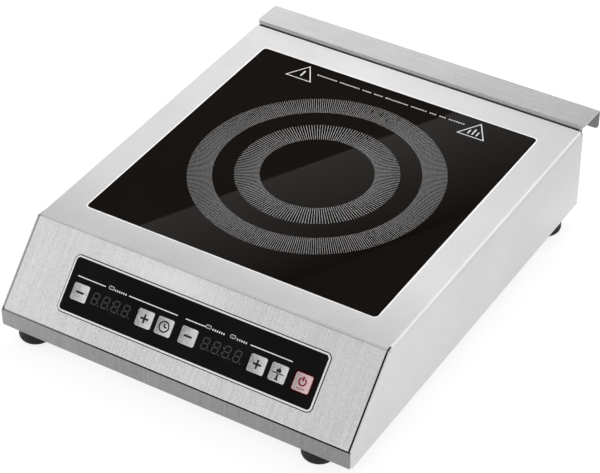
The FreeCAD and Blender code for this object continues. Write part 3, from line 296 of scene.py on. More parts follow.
# ======== Materials ========
class Shader:
    """A material's node tree with one Principled shader; object coordinates are the model's metres."""

    def __init__(self, name, **settings):
        self.material = bpy.data.materials.new(name)
        self.material.use_nodes = True
        self.tree = self.material.node_tree
        self.nodes = self.tree.nodes
        self.shader = self.nodes["Principled BSDF"]
        for socket, value in settings.items():
            self.shader.inputs[socket.replace("_", " ")].default_value = value
        self.place = self.nodes.new("ShaderNodeTexCoord").outputs["Object"]

    def link(self, source, target):
        self.tree.links.new(source, target)

    def stretched(self, scale):
        mapping = self.nodes.new("ShaderNodeMapping")
        mapping.inputs["Scale"].default_value = scale
        self.link(self.place, mapping.inputs["Vector"])
        return mapping.outputs["Vector"]

    def noise(self, scale, vector=None, detail=3.0, roughness=0.55, distortion=0.0):
        node = self.nodes.new("ShaderNodeTexNoise")
        node.inputs["Scale"].default_value = scale
        node.inputs["Detail"].default_value = detail
        node.inputs["Roughness"].default_value = roughness
        node.inputs["Distortion"].default_value = distortion
        self.link(vector or self.place, node.inputs["Vector"])
        return node.outputs["Fac"]

    def remap(self, source, low, high, new_low=0.0, new_high=1.0):
        node = self.nodes.new("ShaderNodeMapRange")
        node.inputs["From Min"].default_value = low
        node.inputs["From Max"].default_value = high
        node.inputs["To Min"].default_value = new_low
        node.inputs["To Max"].default_value = new_high
        self.link(source, node.inputs["Value"])
        return node.outputs["Result"]

    def spread(self, noise, new_low=0.0, new_high=1.0):
        """Remaps the middle part of a noise, where nearly all its values lie."""
        return self.remap(noise, 0.3, 0.7, new_low, new_high)

    def math(self, operation, first, second):
        node = self.nodes.new("ShaderNodeMath")
        node.operation = operation
        for socket, value in zip(node.inputs, (first, second)):
            if isinstance(value, (int, float)):
                socket.default_value = value
            else:
                self.link(value, socket)
        return node.outputs["Value"]

    def plus(self, first, second):
        return self.math("ADD", first, second)

    def minus(self, first, second):
        return self.math("SUBTRACT", first, second)

    def times(self, first, second):
        return self.math("MULTIPLY", first, second)

    def absolute(self, source):
        return self.math("ABSOLUTE", source, 0.0)

    def mix(self, factor, first, second):
        """Mixes two colours; each is a tuple or a socket."""
        node = self.nodes.new("ShaderNodeMix")
        node.data_type = "RGBA"
        self.link(factor, node.inputs["Factor"])
        first_socket, second_socket, result = COLOUR_SOCKETS
        for index, value in ((first_socket, first), (second_socket, second)):
            if isinstance(value, tuple):
                node.inputs[index].default_value = value
            else:
                self.link(value, node.inputs[index])
        return node.outputs[result]

    def mix_vectors(self, factor, first, second):
        node = self.nodes.new("ShaderNodeMix")
        node.data_type = "VECTOR"
        self.link(factor, node.inputs["Factor"])
        first_socket, second_socket, result = VECTOR_SOCKETS
        self.link(first, node.inputs[first_socket])
        self.link(second, node.inputs[second_socket])
        return node.outputs[result]

    def line(self, source, middle, reach):
        """One at the middle value, falling to nothing a reach away on both sides."""
        distance = self.absolute(self.minus(source, middle))
        return self.remap(distance, 0.0, reach, 1.0, 0.0)

    def with_painted_shade(self, shade, parts):
        """Takes from a shade the amount that goes with each part of the surface: painted shade, or painted light
        where the amount is negative.
        """
        for part, amount in parts:
            shade = self.minus(shade, self.times(part, amount))
        return shade

    def axes(self, source):
        """The x, y and z of a vector."""
        node = self.nodes.new("ShaderNodeSeparateXYZ")
        self.link(source, node.inputs["Vector"])
        return tuple(node.outputs)

    def normal(self):
        return self.nodes.new("ShaderNodeNewGeometry").outputs["Normal"]

    def bump(self, height, strength, distance):
        node = self.nodes.new("ShaderNodeBump")
        node.inputs["Strength"].default_value = strength
        node.inputs["Distance"].default_value = distance
        self.link(height, node.inputs["Height"])
        self.link(node.outputs["Normal"], self.shader.inputs["Normal"])

    def colour(self, source):
        self.link(source, self.shader.inputs["Base Color"])

    def roughness(self, source):
        self.link(source, self.shader.inputs["Roughness"])


def grey(value):
    return (value, value, value, 1.0)


def tinted(red, green, blue):
    return (red, green, blue, 1.0)


def sheet_texture(steel, on_side):
    """Fine grain and short strokes, turned to run along the side faces."""
    fine = steel.mix_vectors(on_side, steel.stretched((900, 22, 22)), steel.stretched((20, 14, 700)))
    short = steel.mix_vectors(on_side, steel.stretched((1100, 420, 420)), steel.stretched((150, 110, 520)))
    hair = steel.noise(1.0, fine, detail=2.0, roughness=0.6)
    strokes = steel.noise(1.0, short, detail=4.0, roughness=0.75, distortion=0.3)
    return steel.plus(steel.times(hair, 0.30), steel.times(strokes, 0.70))


def sheet_painted_shade(steel, facing, forward, on_side, on_front):
    """The parts of the casing that get painted shade, each with its amount; a negative amount paints light."""
    across, depth, height = steel.axes(steel.place)
    away = steel.math("MAXIMUM", steel.remap(forward, -0.4, -0.8), steel.remap(facing[0], -0.4, -0.8))
    upper_rear = steel.times(steel.remap(depth, *SIDE_DEPTHS), steel.remap(height, *SIDE_HEIGHTS, 0.25, 1.0))
    on_top = steel.remap(facing[2], 0.90, 0.99)
    rear_right = steel.times(steel.remap(across, *TOP_REAR_WIDTHS), steel.remap(depth, *TOP_REAR_DEPTHS))
    patch = steel.times(steel.line(across, *PATCH_WIDTHS), steel.line(height, *PATCH_HEIGHTS))
    return (
        (away, AWAY_PAINTED_SHADE),
        (on_side, SIDE_PAINTED_SHADE),
        (steel.times(on_side, upper_rear), SIDE_REAR_PAINTED_SHADE),
        (steel.times(on_top, steel.remap(depth, *TOP_FRONT_DEPTHS)), TOP_FRONT_PAINTED_SHADE),
        (steel.times(on_top, rear_right), TOP_REAR_PAINTED_SHADE),
        (on_front, SLOPE_PAINTED_SHADE),
        (steel.times(on_front, patch), -SLOPE_PAINTED_LIGHT),
        (steel.line(forward, 0.58, 0.13), CREASE_PAINTED_SHADE),
        (steel.line(forward, 0.13, 0.12), TOP_CREASE_PAINTED_SHADE),
    )


def brushed_steel(name, light, dark, faint, strong, edge=None, right_painted_shade=0.0):
    """Brushed sheet: short strokes up the control slope, a fine faint grain elsewhere, painted shade on the bends,
    and painted light and shade by place and facing.

    Its shade runs from dark at 0 to light at 1, and goes on below 0; edge is the grey of side faces.
    """
    steel = Shader(name, Metallic=0.55)
    facing = steel.axes(steel.normal())
    forward = steel.times(facing[1], -1.0)
    on_side = steel.remap(steel.absolute(facing[0]), 0.45, 0.75)
    on_front = steel.remap(forward, 0.35, 0.60)
    texture = sheet_texture(steel, on_side)
    relief = steel.times(steel.minus(texture, 0.5), steel.remap(on_front, 0.0, 1.0, faint, strong))
    cloud = steel.noise(11.0, detail=3.0)
    shade = steel.plus(steel.plus(relief, 0.5), steel.spread(cloud, -0.10, 0.10))
    shade = steel.with_painted_shade(shade, sheet_painted_shade(steel, facing, forward, on_side, on_front))
    across = steel.axes(steel.place)[0]
    # painted shade growing towards the right end
    shade = steel.with_painted_shade(shade, ((steel.remap(across, *RIGHT_END_WIDTHS), right_painted_shade),))
    darkest = dark - 2 * (light - dark)
    sheet = steel.mix(steel.remap(shade, -2.0, 1.0), grey(darkest), grey(light))
    if edge is not None:
        sheet = steel.mix(on_side, sheet, grey(edge))
    steel.colour(sheet)
    steel.roughness(steel.spread(texture, 0.30, 0.42))
    steel.bump(relief, 0.14, 0.10 * MM)
    return steel.material


def hood_steel():
    """The hood's sheet: painted highlight on its front face, painted shade on its bends, a darker painted shade
    inside and towards its right end.
    """
    steel = Shader("brushed_hood", Metallic=0.55)
    low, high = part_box("rear_hood")
    across, depth, _ = steel.axes(steel.place)
    forward = steel.times(steel.axes(steel.normal())[1], -1.0)
    along = steel.remap(across, low[0], high[0])
    behind = steel.remap(depth, low[1] + 15 * MM, low[1] + 16 * MM)
    inner_face = steel.times(steel.remap(forward, 0.4, 0.7), behind)
    hair = steel.noise(1.0, steel.stretched((30, 900, 900)), detail=3.0)
    speckle = steel.noise(650.0, detail=3.0, roughness=0.7)
    cloud = steel.noise(14.0, detail=3.0)
    texture = steel.plus(steel.times(hair, 0.4), steel.times(speckle, 0.6))
    shade = steel.plus(steel.spread(texture, -0.3, 0.6), steel.spread(cloud, -0.1, 0.1))
    bend = steel.times(steel.line(forward, 0.75, 0.20), steel.remap(along, 0.1, 0.9, 1.0, 0.0))
    rear_bend = steel.times(steel.remap(forward, -0.10, -0.30), along)
    shade = steel.with_painted_shade(shade, ((along, HOOD_END_PAINTED_SHADE), (bend, HOOD_BEND_PAINTED_SHADE),
                                 (rear_bend, HOOD_REAR_PAINTED_SHADE)))
    # painted highlight on the front face, stronger towards the right end
    painted_face_highlight = steel.times(steel.remap(forward, 0.93, 0.99), steel.remap(along, 0.0, 1.0, 0.8, 2.0))
    shade = steel.plus(shade, painted_face_highlight)
    outside = steel.mix(steel.remap(shade, -2.5, 1.5), grey(0.06), grey(0.88))
    # painted shade: a darker grey on the inner face
    inside = steel.mix(shade, grey(0.12), grey(0.30))
    steel.colour(steel.mix(inner_face, outside, inside))
    steel.roughness(steel.spread(texture, 0.32, 0.45))
    steel.bump(texture, 0.10, 0.05 * MM)
    return steel.material


def joint_sealant():
    """Black sealant, with painted light: a pale grey towards the left end of the joints at the front."""
    filler = Shader("black_sealant", Roughness=0.55, Specular_IOR_Level=0.03)
    grain = filler.spread(filler.noise(1200.0, detail=3.0))
    across, depth, _ = filler.axes(filler.place)
    left = filler.remap(across, -60 * MM, -170 * MM)
    at_side = filler.remap(across, -160 * MM, -164 * MM)
    beside_slope = filler.times(at_side, filler.remap(depth, -130 * MM, -150 * MM))
    below_slope = filler.remap(depth, -215.0 * MM, -216.5 * MM)
    # painted light: pale grey in the joints towards the left end
    painted_pale_part = filler.times(left, filler.math("MAXIMUM", beside_slope, below_slope))
    black = filler.mix(grain, grey(0.006), grey(0.012))
    filler.colour(filler.mix(painted_pale_part, black, grey(0.34)))
    filler.bump(grain, 0.1, 0.05 * MM)
    return filler.material


def plain_metal(name, light, dark, roughness, scale=900.0, metallic=1.0):
    """Plated, turned or cast metal with an even grain."""
    metal = Shader(name, Metallic=metallic)
    grain = metal.noise(scale, detail=4.0)
    metal.colour(metal.mix(metal.spread(grain), dark, light))
    metal.roughness(metal.spread(grain, roughness - 0.06, roughness + 0.08))
    metal.bump(grain, 0.15, 0.05 * MM)
    return metal.material


def moulded(name, light, dark, roughness, scale=1800.0, bump=0.25, specular=0.5):
    """Moulded plastic or rubber: fine spark-eroded grain with slow changes of shade."""
    plastic = Shader(name, Specular_IOR_Level=specular)
    grain = plastic.noise(scale, detail=2.0)
    shade = plastic.noise(60.0, detail=3.0)
    plastic.colour(plastic.mix(plastic.remap(shade, 0.35, 0.65), dark, light))
    plastic.roughness(plastic.spread(grain, roughness - 0.05, roughness + 0.08))
    plastic.bump(grain, bump, 0.06 * MM)
    return plastic.material


def black_glass():
    """Glass-ceramic: nearly black, polished, with faint smears."""
    glass = Shader("black_glass_ceramic", Specular_IOR_Level=0.30, Coat_Weight=0.0)
    depth = glass.spread(glass.noise(14.0, detail=3.0))
    glass.colour(glass.mix(depth, tinted(0.0044, 0.0031, 0.0023), tinted(0.0054, 0.0041, 0.0033)))
    smear = glass.noise(22.0, glass.stretched((1.0, 2.6, 1.0)), detail=4.0, distortion=0.6)
    glass.roughness(glass.remap(smear, 0.45, 0.8, 0.008, 0.03))
    return glass.material


def window_face():
    """The control window's satin black film."""
    face = Shader("window_face", Specular_IOR_Level=0.06)
    depth = face.spread(face.noise(30.0, detail=2.0))
    face.colour(face.mix(depth, tinted(0.0035, 0.003, 0.003), tinted(0.006, 0.0053, 0.0053)))
    smear = face.noise(70.0, detail=4.0)
    face.roughness(face.remap(smear, 0.4, 0.8, 0.10, 0.17))
    face.bump(smear, 0.04, 0.05 * MM)
    return face.material


def key_face(window, node, shaded_colour, lit_colour, edge):
    """Key paint with painted light: brighter towards its right side, mottled, with a painted highlight rim and a
    dark painted shade along its edge.
    """
    low, high = window.extent(node)
    middle = window.face_middle(node)
    half_length = (high.x - low.x) / 2
    half_height = (high.y - low.y) / 2
    paint = Shader(node + "_paint", Metallic=0.35)
    place_x, _, place_z = paint.axes(paint.place)
    across = paint.minus(place_x, middle.x)
    rise = paint.math("DIVIDE", paint.minus(place_z, middle.z), window.up.z)
    from_side = paint.minus(half_length, paint.absolute(across))
    from_end = paint.minus(half_height, paint.absolute(rise))
    from_edge = paint.math("MINIMUM", from_side, from_end)
    flake = paint.noise(1.0, paint.stretched((500, 1500, 1500)), detail=3.0)
    cloud = paint.noise(260.0, detail=2.0)
    # painted light: the face grows paler towards its right side
    shade = paint.plus(paint.remap(across, -half_length, half_length), paint.spread(flake, -0.2, 0.2))
    shade = paint.plus(shade, paint.spread(cloud, -0.2, 0.2))
    shade = paint.plus(shade, paint.line(from_edge, *KEY_PAINTED_HIGHLIGHT_RIM))
    face = paint.mix(shade, shaded_colour, lit_colour)
    paint.colour(paint.mix(paint.remap(from_edge, *KEY_PAINTED_SHADE_EDGE), edge, face))
    paint.roughness(paint.spread(flake, 0.34, 0.48))
    paint.bump(flake, 0.10, 0.03 * MM)
    return paint.material


def key_faces(window):
    """Each key's own finish: silver, and pink for the on/off key, with painted light across it and painted shade
    along its edge.
    """
    faces = {node: key_face(window, node, grey(0.30), grey(0.76), grey(0.03)) for node in KEY_ICONS}
    faces["key_on_off"] = key_face(window, "key_on_off", tinted(0.42, 0.34, 0.34), tinted(0.86, 0.58, 0.60),
                                   tinted(0.42, 0.12, 0.14))
    return faces


def print_ink(name, light, dark):
    """Printing ink with a fine grain."""
    ink = Shader(name, Specular_IOR_Level=0.2)
    grain = ink.noise(2200.0, detail=3.0)
    ink.colour(ink.mix(ink.remap(grain, 0.35, 0.7), dark, light))
    ink.roughness(ink.spread(grain, 0.45, 0.65))
    return ink.material


def litz_copper():
    """Copper winding with the fine marks of its strands."""
    copper = Shader("litz_copper", Metallic=0.8)
    strands = copper.noise(1.0, copper.stretched((2600, 2600, 500)), detail=3.0)
    between = copper.remap(strands, 0.35, 0.65)
    copper.colour(copper.mix(between, tinted(0.30, 0.10, 0.04), tinted(0.62, 0.27, 0.13)))
    copper.roughness(copper.spread(strands, 0.28, 0.5))
    copper.bump(strands, 0.5, 0.2 * MM)
    return copper.material


def circuit_board():
    """Green solder mask with paler tracks."""
    board = Shader("circuit_board_mask", Specular_IOR_Level=0.5)
    tracks = board.nodes.new("ShaderNodeTexBrick")
    tracks.inputs["Scale"].default_value = 120.0
    tracks.inputs["Mortar Size"].default_value = 0.06
    tracks.inputs["Color1"].default_value = tinted(0.012, 0.10, 0.035)
    tracks.inputs["Color2"].default_value = tinted(0.016, 0.12, 0.045)
    tracks.inputs["Mortar"].default_value = tinted(0.03, 0.20, 0.07)
    board.link(board.place, tracks.inputs["Vector"])
    board.colour(tracks.outputs["Color"])
    grain = board.noise(700.0)
    board.roughness(board.spread(grain, 0.25, 0.40))
    return board.material


def striped_sleeve(name, first, second, scale):
    """Two colours in narrow stripes or layers."""
    sleeve = Shader(name)
    wave = sleeve.nodes.new("ShaderNodeTexWave")
    wave.inputs["Scale"].default_value = scale
    wave.inputs["Distortion"].default_value = 0.5
    sleeve.link(sleeve.place, wave.inputs["Vector"])
    sleeve.colour(sleeve.mix(sleeve.remap(wave.outputs["Fac"], 0.45, 0.55), first, second))
    grain = sleeve.noise(1500.0)
    sleeve.roughness(sleeve.spread(grain, 0.35, 0.5))
    return sleeve.material


def pale_floor():
    """A nearly white floor that glows a little, so that only soft shadows show on it."""
    floor = Shader("pale_floor", Specular_IOR_Level=0.2, Emission_Color=grey(1.0), Emission_Strength=0.82)
    cloud = floor.noise(1.5, detail=3.0)
    floor.colour(floor.mix(floor.spread(cloud), grey(0.24), grey(0.26)))
    floor.roughness(floor.spread(cloud, 0.65, 0.8))
    return floor.material


def finish_by_slot():
    """A material for each slot of the record but the keys' two: every key has its own paint."""
    return {
        "stainless": brushed_steel("brushed_stainless", 0.84, 0.62, 0.8, 4.2),
        # painted shade: the tray is a darker copy of the casing's steel, its side faces at the casing's paler side
        # grey, and darker towards its right end
        "stainless_tray": brushed_steel("brushed_tray_painted_shade", 0.36, 0.24, 0.8, 3.6, edge=0.58, right_painted_shade=0.40),
        "screw_steel": plain_metal("plated_screws", grey(0.62), grey(0.42), 0.28),
        "ceramic_glass": black_glass(),
        "silicone": moulded("silicone_seal", grey(0.93), grey(0.84), 0.5, bump=0.1),
        "bezel": plain_metal("bright_bezel", grey(0.93), grey(0.84), 0.22, metallic=0.6),
        "window_black": window_face(),
        "lamp": moulded("smoked_lamp", grey(0.035), grey(0.02), 0.2, bump=0.05),
        "display": moulded("display_face", grey(0.03), grey(0.02), 0.3, bump=0.05),
        "switch_black": moulded("switch_body", grey(0.03), grey(0.02), 0.45),
        "circuit_board": circuit_board(),
        "brass_parts": plain_metal("turned_brass", tinted(0.80, 0.60, 0.28), tinted(0.62, 0.44, 0.18), 0.3),
        "rubber_black": moulded("black_rubber", grey(0.012), grey(0.006), 0.60, bump=0.35, specular=0.20),
        "sealant_black": joint_sealant(),
        "nylon_black": moulded("black_nylon", grey(0.035), grey(0.022), 0.42),
        "litz": litz_copper(),
        "coil_carrier": moulded("coil_carrier_resin", tinted(0.62, 0.60, 0.54),
                                tinted(0.50, 0.48, 0.43), 0.5),
        "ferrite": moulded("sintered_ferrite", grey(0.06), grey(0.035), 0.5, scale=900.0, bump=0.4),
        "mica": striped_sleeve("pressed_mica", tinted(0.62, 0.57, 0.46), tinted(0.70, 0.65, 0.54), 60.0),
        "sensor_white": moulded("sensor_silicone", grey(0.78), grey(0.68), 0.5),
        "heat_sink_aluminium": plain_metal("extruded_aluminium", grey(0.80), grey(0.62), 0.36, scale=500.0),
        "package_black": moulded("epoxy_package", grey(0.028), grey(0.018), 0.42),
        "capacitor_blue": moulded("capacitor_case", tinted(0.05, 0.12, 0.32), tinted(0.04, 0.09, 0.25), 0.3),
        "choke_winding": litz_copper(),
        "transformer_tape": striped_sleeve("transformer_tape_yellow", tinted(0.75, 0.55, 0.08),
                                           tinted(0.62, 0.44, 0.06), 90.0),
        "terminal_white": moulded("terminal_nylon", grey(0.76), grey(0.66), 0.42),
        "fan_black": moulded("fan_plastic", grey(0.030), grey(0.020), 0.40),
        "wire_brown": moulded("brown_sleeve", tinted(0.16, 0.06, 0.03), tinted(0.12, 0.045, 0.02), 0.4),
        "wire_blue": moulded("blue_sleeve", tinted(0.03, 0.10, 0.42), tinted(0.02, 0.07, 0.32), 0.4),
        "wire_green_yellow": striped_sleeve("earth_sleeve", tinted(0.10, 0.38, 0.06),
                                            tinted(0.75, 0.62, 0.05), 130.0),
        "lead_sleeve": striped_sleeve("braided_lead_sleeve", grey(0.72), grey(0.60), 400.0),
        "ribbon_grey": striped_sleeve("ribbon_grey_strands", grey(0.42), grey(0.34), 320.0),
    }


def paint_nodes(finishes, own_finish):
    """Gives every CAD node its slot's material, or its own where it has one."""
    slots = {part["node"]: part["material_slot"] for part in frame["record"]["subparts"]}
    for name, node in frame["nodes"].items():
        material = own_finish.get(name) or finishes[slots[name]]
        if not node.material_slots:
            node.data.materials.append(material)
        for material_slot in node.material_slots:
            material_slot.material = material


# ======== Prints on the glass ========
def ring_strokes(bm, thickness):
    """Two rings of radial strokes."""
    for inner, outer, count in RINGS:
        pitch = math.pi * (inner + outer) / count
        half_width = RING_FILL * pitch / 2
        for index in range(count):
            angle = (index + 0.5) * 2 * math.pi / count
            along = Vector((math.cos(angle), math.sin(angle)))
            side = Vector((-along.y, along.x)) * half_width
            start = RING_CENTRE + along * inner
            end = RING_CENTRE + along * outer
            add_prism(bm, (start - side, end - side, end + side, start + side), thickness)


def triangle_outline(x, rear, base, height, inset):
    """Corners of a triangle drawn in by the inset on every side."""
    slope = math.hypot(height, base / 2)
    inradius = base * height / (base + 2 * slope)
    centre = Vector((x, rear - height + inradius))
    scale = (inradius - inset) / inradius
    corners = ((x, rear), (x - base / 2, rear - height), (x + base / 2, rear - height))
    return [centre + (Vector(corner) - centre) * scale for corner in corners]


def add_ticks(bm, start, y, count, pitch, tick, thickness):
    """A row of small upright ticks from start towards +x."""
    length, height = tick
    for index in range(count):
        x = start + (index + 0.5) * pitch
        add_prism(bm, rounded_outline(x, y, length, height, 0.3 * MM, steps=2), thickness)


def glass_marks(bm, thickness):
    """Plain triangle outlines with rows of ticks between them, along the rear edge."""
    low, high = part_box("glass_plate")
    rear = (high[1] - low[1]) / 2
    apex = rear - TRIANGLE_FROM_REAR
    for x in TRIANGLES_X:
        outer = triangle_outline(x, apex, TRIANGLE_BASE, TRIANGLE_HEIGHT, 0.0)
        inner = triangle_outline(x, apex, TRIANGLE_BASE, TRIANGLE_HEIGHT, TRIANGLE_LINE)
        add_band(bm, outer, inner, thickness)
    bar_x, bars_x = TRIANGLES_X
    add_prism(bm, rounded_outline(bar_x, apex - 13.5 * MM, 1.7 * MM, 9.0 * MM, 0.8 * MM), thickness)
    foot = apex - 19.0 * MM
    for offset, height in ((-4.2 * MM, 6.0 * MM), (0.0, 9.0 * MM), (4.2 * MM, 6.0 * MM)):
        bar = rounded_outline(bars_x + offset, foot + height / 2, 1.4 * MM, height, 0.6 * MM)
        add_prism(bm, bar, thickness)
    x = -(sum(TICK_ROWS) * TICK_PITCH + (len(TICK_ROWS) - 1) * TICK_GROUP_GAP) / 2
    for ticks in TICK_ROWS:
        add_ticks(bm, x, rear - TICKS_FROM_REAR, ticks, TICK_PITCH, TICK, thickness)
        x += ticks * TICK_PITCH + TICK_GROUP_GAP


# ======== Prints and displays on the control window ========
def window_lines(bm, thickness):
    """Lines over the displays, with rows of ticks between them."""
    for start, end in LINES:
        middle = (start + end) / 2 * MM
        length = (end - start) * MM
        add_prism(bm, rounded_outline(middle, LINE_RISE, length, LINE_WIDTH, 0.3 * MM), thickness)
    for start, ticks in WINDOW_TICK_ROWS:
        add_ticks(bm, start * MM, LINE_RISE, ticks, WINDOW_TICK_PITCH, WINDOW_TICK, thickness)


def lamp_outlines(window):
    """A thin oval line round each indicator lamp."""
    low, high = window.extent("indicator_lamps")
    height = high.y - low.y

    def fill(bm, thickness):
        for x in INDICATORS_X:
            outer = rounded_outline(x, (low.y + high.y) / 2, 5.4 * MM, height + 0.4 * MM, 1.4 * MM)
            inner = rounded_outline(x, (low.y + high.y) / 2, 4.7 * MM, height - 0.3 * MM, 1.0 * MM)
            add_band(bm, outer, inner, thickness)
    return fill


def segment_outlines(x, y):
    """The seven segments of one digit, as six-sided bars, leaning to the right."""
    half_width = DIGIT_WIDTH / 2 - SEGMENT / 2
    half_height = DIGIT_HEIGHT / 2 - SEGMENT / 2
    gap = 0.22 * MM
    point = SEGMENT / 2

    def bar(start, end):
        along = (Vector(end) - Vector(start)).normalized()
        side = Vector((-along.y, along.x)) * point
        first = Vector(start) + along * gap
        last = Vector(end) - along * gap
        corners = [first, first + along * point - side, last - along * point - side,
                   last, last - along * point + side, first + along * point + side]
        return [(x + corner.x + corner.y * DIGIT_SLANT, y + corner.y) for corner in corners]

    upper_left = (-half_width, half_height)
    upper_right = (half_width, half_height)
    middle_left = (-half_width, 0.0)
    middle_right = (half_width, 0.0)
    lower_left = (-half_width, -half_height)
    lower_right = (half_width, -half_height)
    pairs = ((upper_left, upper_right), (middle_left, middle_right), (lower_left, lower_right),
             (lower_left, middle_left), (middle_left, upper_left),
             (lower_right, middle_right), (middle_right, upper_right))
    return [bar(start, end) for start, end in pairs]


def display_digits(window, node):
    """Unlit digits with their points, and the colon between the middle two."""
    low, high = window.extent(node)
    middle_x = (low.x + high.x) / 2
    middle_y = (low.y + high.y) / 2

    def fill(bm, thickness):
        for index in range(DIGITS):
            x = middle_x + (index - (DIGITS - 1) / 2) * DIGIT_PITCH - 0.6 * MM
            for outline in segment_outlines(x, middle_y):
                add_prism(bm, outline, thickness)
            point_x = x + DIGIT_WIDTH / 2 + 1.1 * MM
            point_y = middle_y - DIGIT_HEIGHT / 2 + 0.6 * MM
            add_prism(bm, rounded_outline(point_x, point_y, 1.3 * MM, 1.3 * MM, 0.64 * MM), thickness)
        for rise in (-2.1 * MM, 2.1 * MM):
            x = middle_x + rise * DIGIT_SLANT + 0.5 * MM
            add_prism(bm, rounded_outline(x, middle_y + rise, 1.1 * MM, 1.1 * MM, 0.54 * MM), thickness)
    return fill


# ======== Icons on the keys ========
def minus_icon(bm, thickness):
    add_prism(bm, rounded_outline(0, 0, 7.6 * MM, ICON_STROKE, 0.3 * MM), thickness)


def plus_icon(bm, thickness):
    """The minus sign with a short bar above and below it."""
    minus_icon(bm, thickness)
    for side in (-1, 1):
        add_prism(bm, rounded_outline(0, side * 2.3 * MM, ICON_STROKE, 3.0 * MM, 0.3 * MM), thickness)


def clock_icon(bm, thickness):
    """A dial with two hands."""
    add_band(bm, circle_outline(5.0 * MM), circle_outline(3.8 * MM), thickness)
    add_prism(bm, rounded_outline(0, 1.3 * MM, 1.3 * MM, 3.2 * MM, 0.3 * MM), thickness)
    add_prism(bm, rounded_outline(1.4 * MM, -0.3 * MM, 2.6 * MM, 1.3 * MM, 0.3 * MM), thickness)


def flame_icon(bm, thickness):
    """A flame over a hob line on a stand."""
    flame = [(-1.9, 0.6), (-2.3, 1.7), (-1.9, 2.8), (-1.2, 3.3), (-0.9, 2.7), (-0.3, 4.1), (0.5, 5.2),
             (0.8, 4.0), (1.5, 3.3), (2.2, 2.3), (2.2, 1.3), (1.7, 0.6)]
    add_prism(bm, [(x * MM, y * MM) for x, y in flame], thickness)
    add_prism(bm, rounded_outline(0, -0.3 * MM, 10.4 * MM, 0.9 * MM, 0.3 * MM), thickness)
    add_prism(bm, rounded_outline(0, -3.2 * MM, ICON_STROKE, 4.2 * MM, 0.3 * MM), thickness)
    add_prism(bm, rounded_outline(0, -5.4 * MM, 3.4 * MM, 1.1 * MM, 0.3 * MM), thickness)


def power_icon(bm, thickness):
    """A broken ring with a bar in its gap, over a short row of ticks."""
    add_prism(bm, arc_outline(0, 0.9 * MM, 2.4 * MM, 3.7 * MM, 122, 418, 40), thickness)
    add_prism(bm, rounded_outline(0, 3.3 * MM, ICON_STROKE, 3.9 * MM, 0.3 * MM), thickness)
    add_ticks(bm, -3.6 * MM, -4.9 * MM, 6, 1.2 * MM, (0.7 * MM, 1.2 * MM), thickness)


KEY_ICONS = {
    "key_timer_minus": minus_icon,
    "key_timer_plus": plus_icon,
    "key_timer_set": clock_icon,
    "key_power_minus": minus_icon,
    "key_power_plus": plus_icon,
    "key_mode": flame_icon,
    "key_on_off": power_icon,
}


def key_icons(window, dark_ink, red_ink):
    """Each key's icon, printed on its face."""
    for node, icon in KEY_ICONS.items():
        face = Plane(window.face_middle(node), window.across, window.up)
        ink = red_ink if node == "key_on_off" else dark_ink
        flat_piece(node + "_icon", face, icon, ink, node)


def on_off_glow(window):
    """The lit gap round the on/off key."""
    low, high = window.extent("key_on_off")
    x = (low.x + high.x) / 2
    y = (low.y + high.y) / 2
    length = high.x - low.x
    height = high.y - low.y

    def fill(bm, thickness):
        outer = rounded_outline(x, y, length + 1.4 * MM, height + 1.4 * MM, 2.6 * MM)
        inner = rounded_outline(x, y, length - 0.4 * MM, height - 0.4 * MM, 2.0 * MM)
        add_band(bm, outer, inner, thickness)
    return fill


def glow_ink():
    """Dark red plastic that is lit from inside."""
    glow = Shader("red_glow", Specular_IOR_Level=0.0, Emission_Color=tinted(1.0, 0.01, 0.02),
                  Emission_Strength=0.012)
    grain = glow.noise(200.0)
    glow.colour(glow.mix(grain, tinted(0.016, 0.0004, 0.0010), tinted(0.026, 0.0006, 0.0014)))
    glow.roughness(glow.spread(grain, 0.3, 0.5))
    return glow.material


# ======== Room, light and camera ========
def add_floor(material):
    """A large flat floor, cut into squares."""
    bm = bmesh.new()
    for row in range(FLOOR_STEPS):
        for column in range(FLOOR_STEPS):
            corners = [(column, row), (column + 1, row), (column + 1, row + 1), (column, row + 1)]
            shares = [(2 * x / FLOOR_STEPS - 1, 2 * y / FLOOR_STEPS - 1) for x, y in corners]
            bm.faces.new([bm.verts.new((x * FLOOR_HALF_WIDTH, y * FLOOR_HALF_WIDTH, -FLOOR_DROP))
                          for x, y in shares])
    bmesh.ops.remove_doubles(bm, verts=bm.verts, dist=1e-5)
    floor = mesh_object("floor", bm)
    floor.data.materials.append(material)


def camera_place():
    """Where the camera stands, and its direction as seen from what it aims at."""
    azimuth = math.radians(CAMERA_AZIMUTH)
    elevation = math.radians(CAMERA_ELEVATION)
    level = math.cos(elevation)
    back = Vector((math.sin(azimuth) * level, -math.cos(azimuth) * level, math.sin(elevation)))
    return CAMERA_AIM + back * CAMERA_DISTANCE, back


def add_camera():
    """The camera, at the viewing angle of the object's picture."""
    data = bpy.data.cameras.new("camera")
    data.lens = CAMERA_LENS
    data.sensor_width = CAMERA_SENSOR
    camera = bpy.data.objects.new("camera", data)
    bpy.context.scene.collection.objects.link(camera)
    place, back = camera_place()
    camera.rotation_mode = "QUATERNION"
    roll = Matrix.Rotation(math.radians(CAMERA_ROLL), 4, "Z")
    turn = (-back).to_track_quat("-Z", "Y").to_matrix().to_4x4()
    camera.matrix_world = Matrix.Translation(place) @ turn @ roll
    bpy.context.scene.camera = camera


def area_light(name, place, aim, sides, power):
    """A rectangular lamp, turned towards what it lights."""
    data = bpy.data.lights.new(name, "AREA")
    data.shape = "RECTANGLE"
    data.size, data.size_y = sides
    data.energy = power
    light = bpy.data.objects.new(name, data)
    light.visible_glossy = name != UNMIRRORED_LAMP
    bpy.context.scene.collection.objects.link(light)
    direction = Vector(aim) - Vector(place)
    turn = direction.to_track_quat("-Z", "Y").to_matrix().to_4x4()
    light.matrix_world = Matrix.Translation(place) @ turn


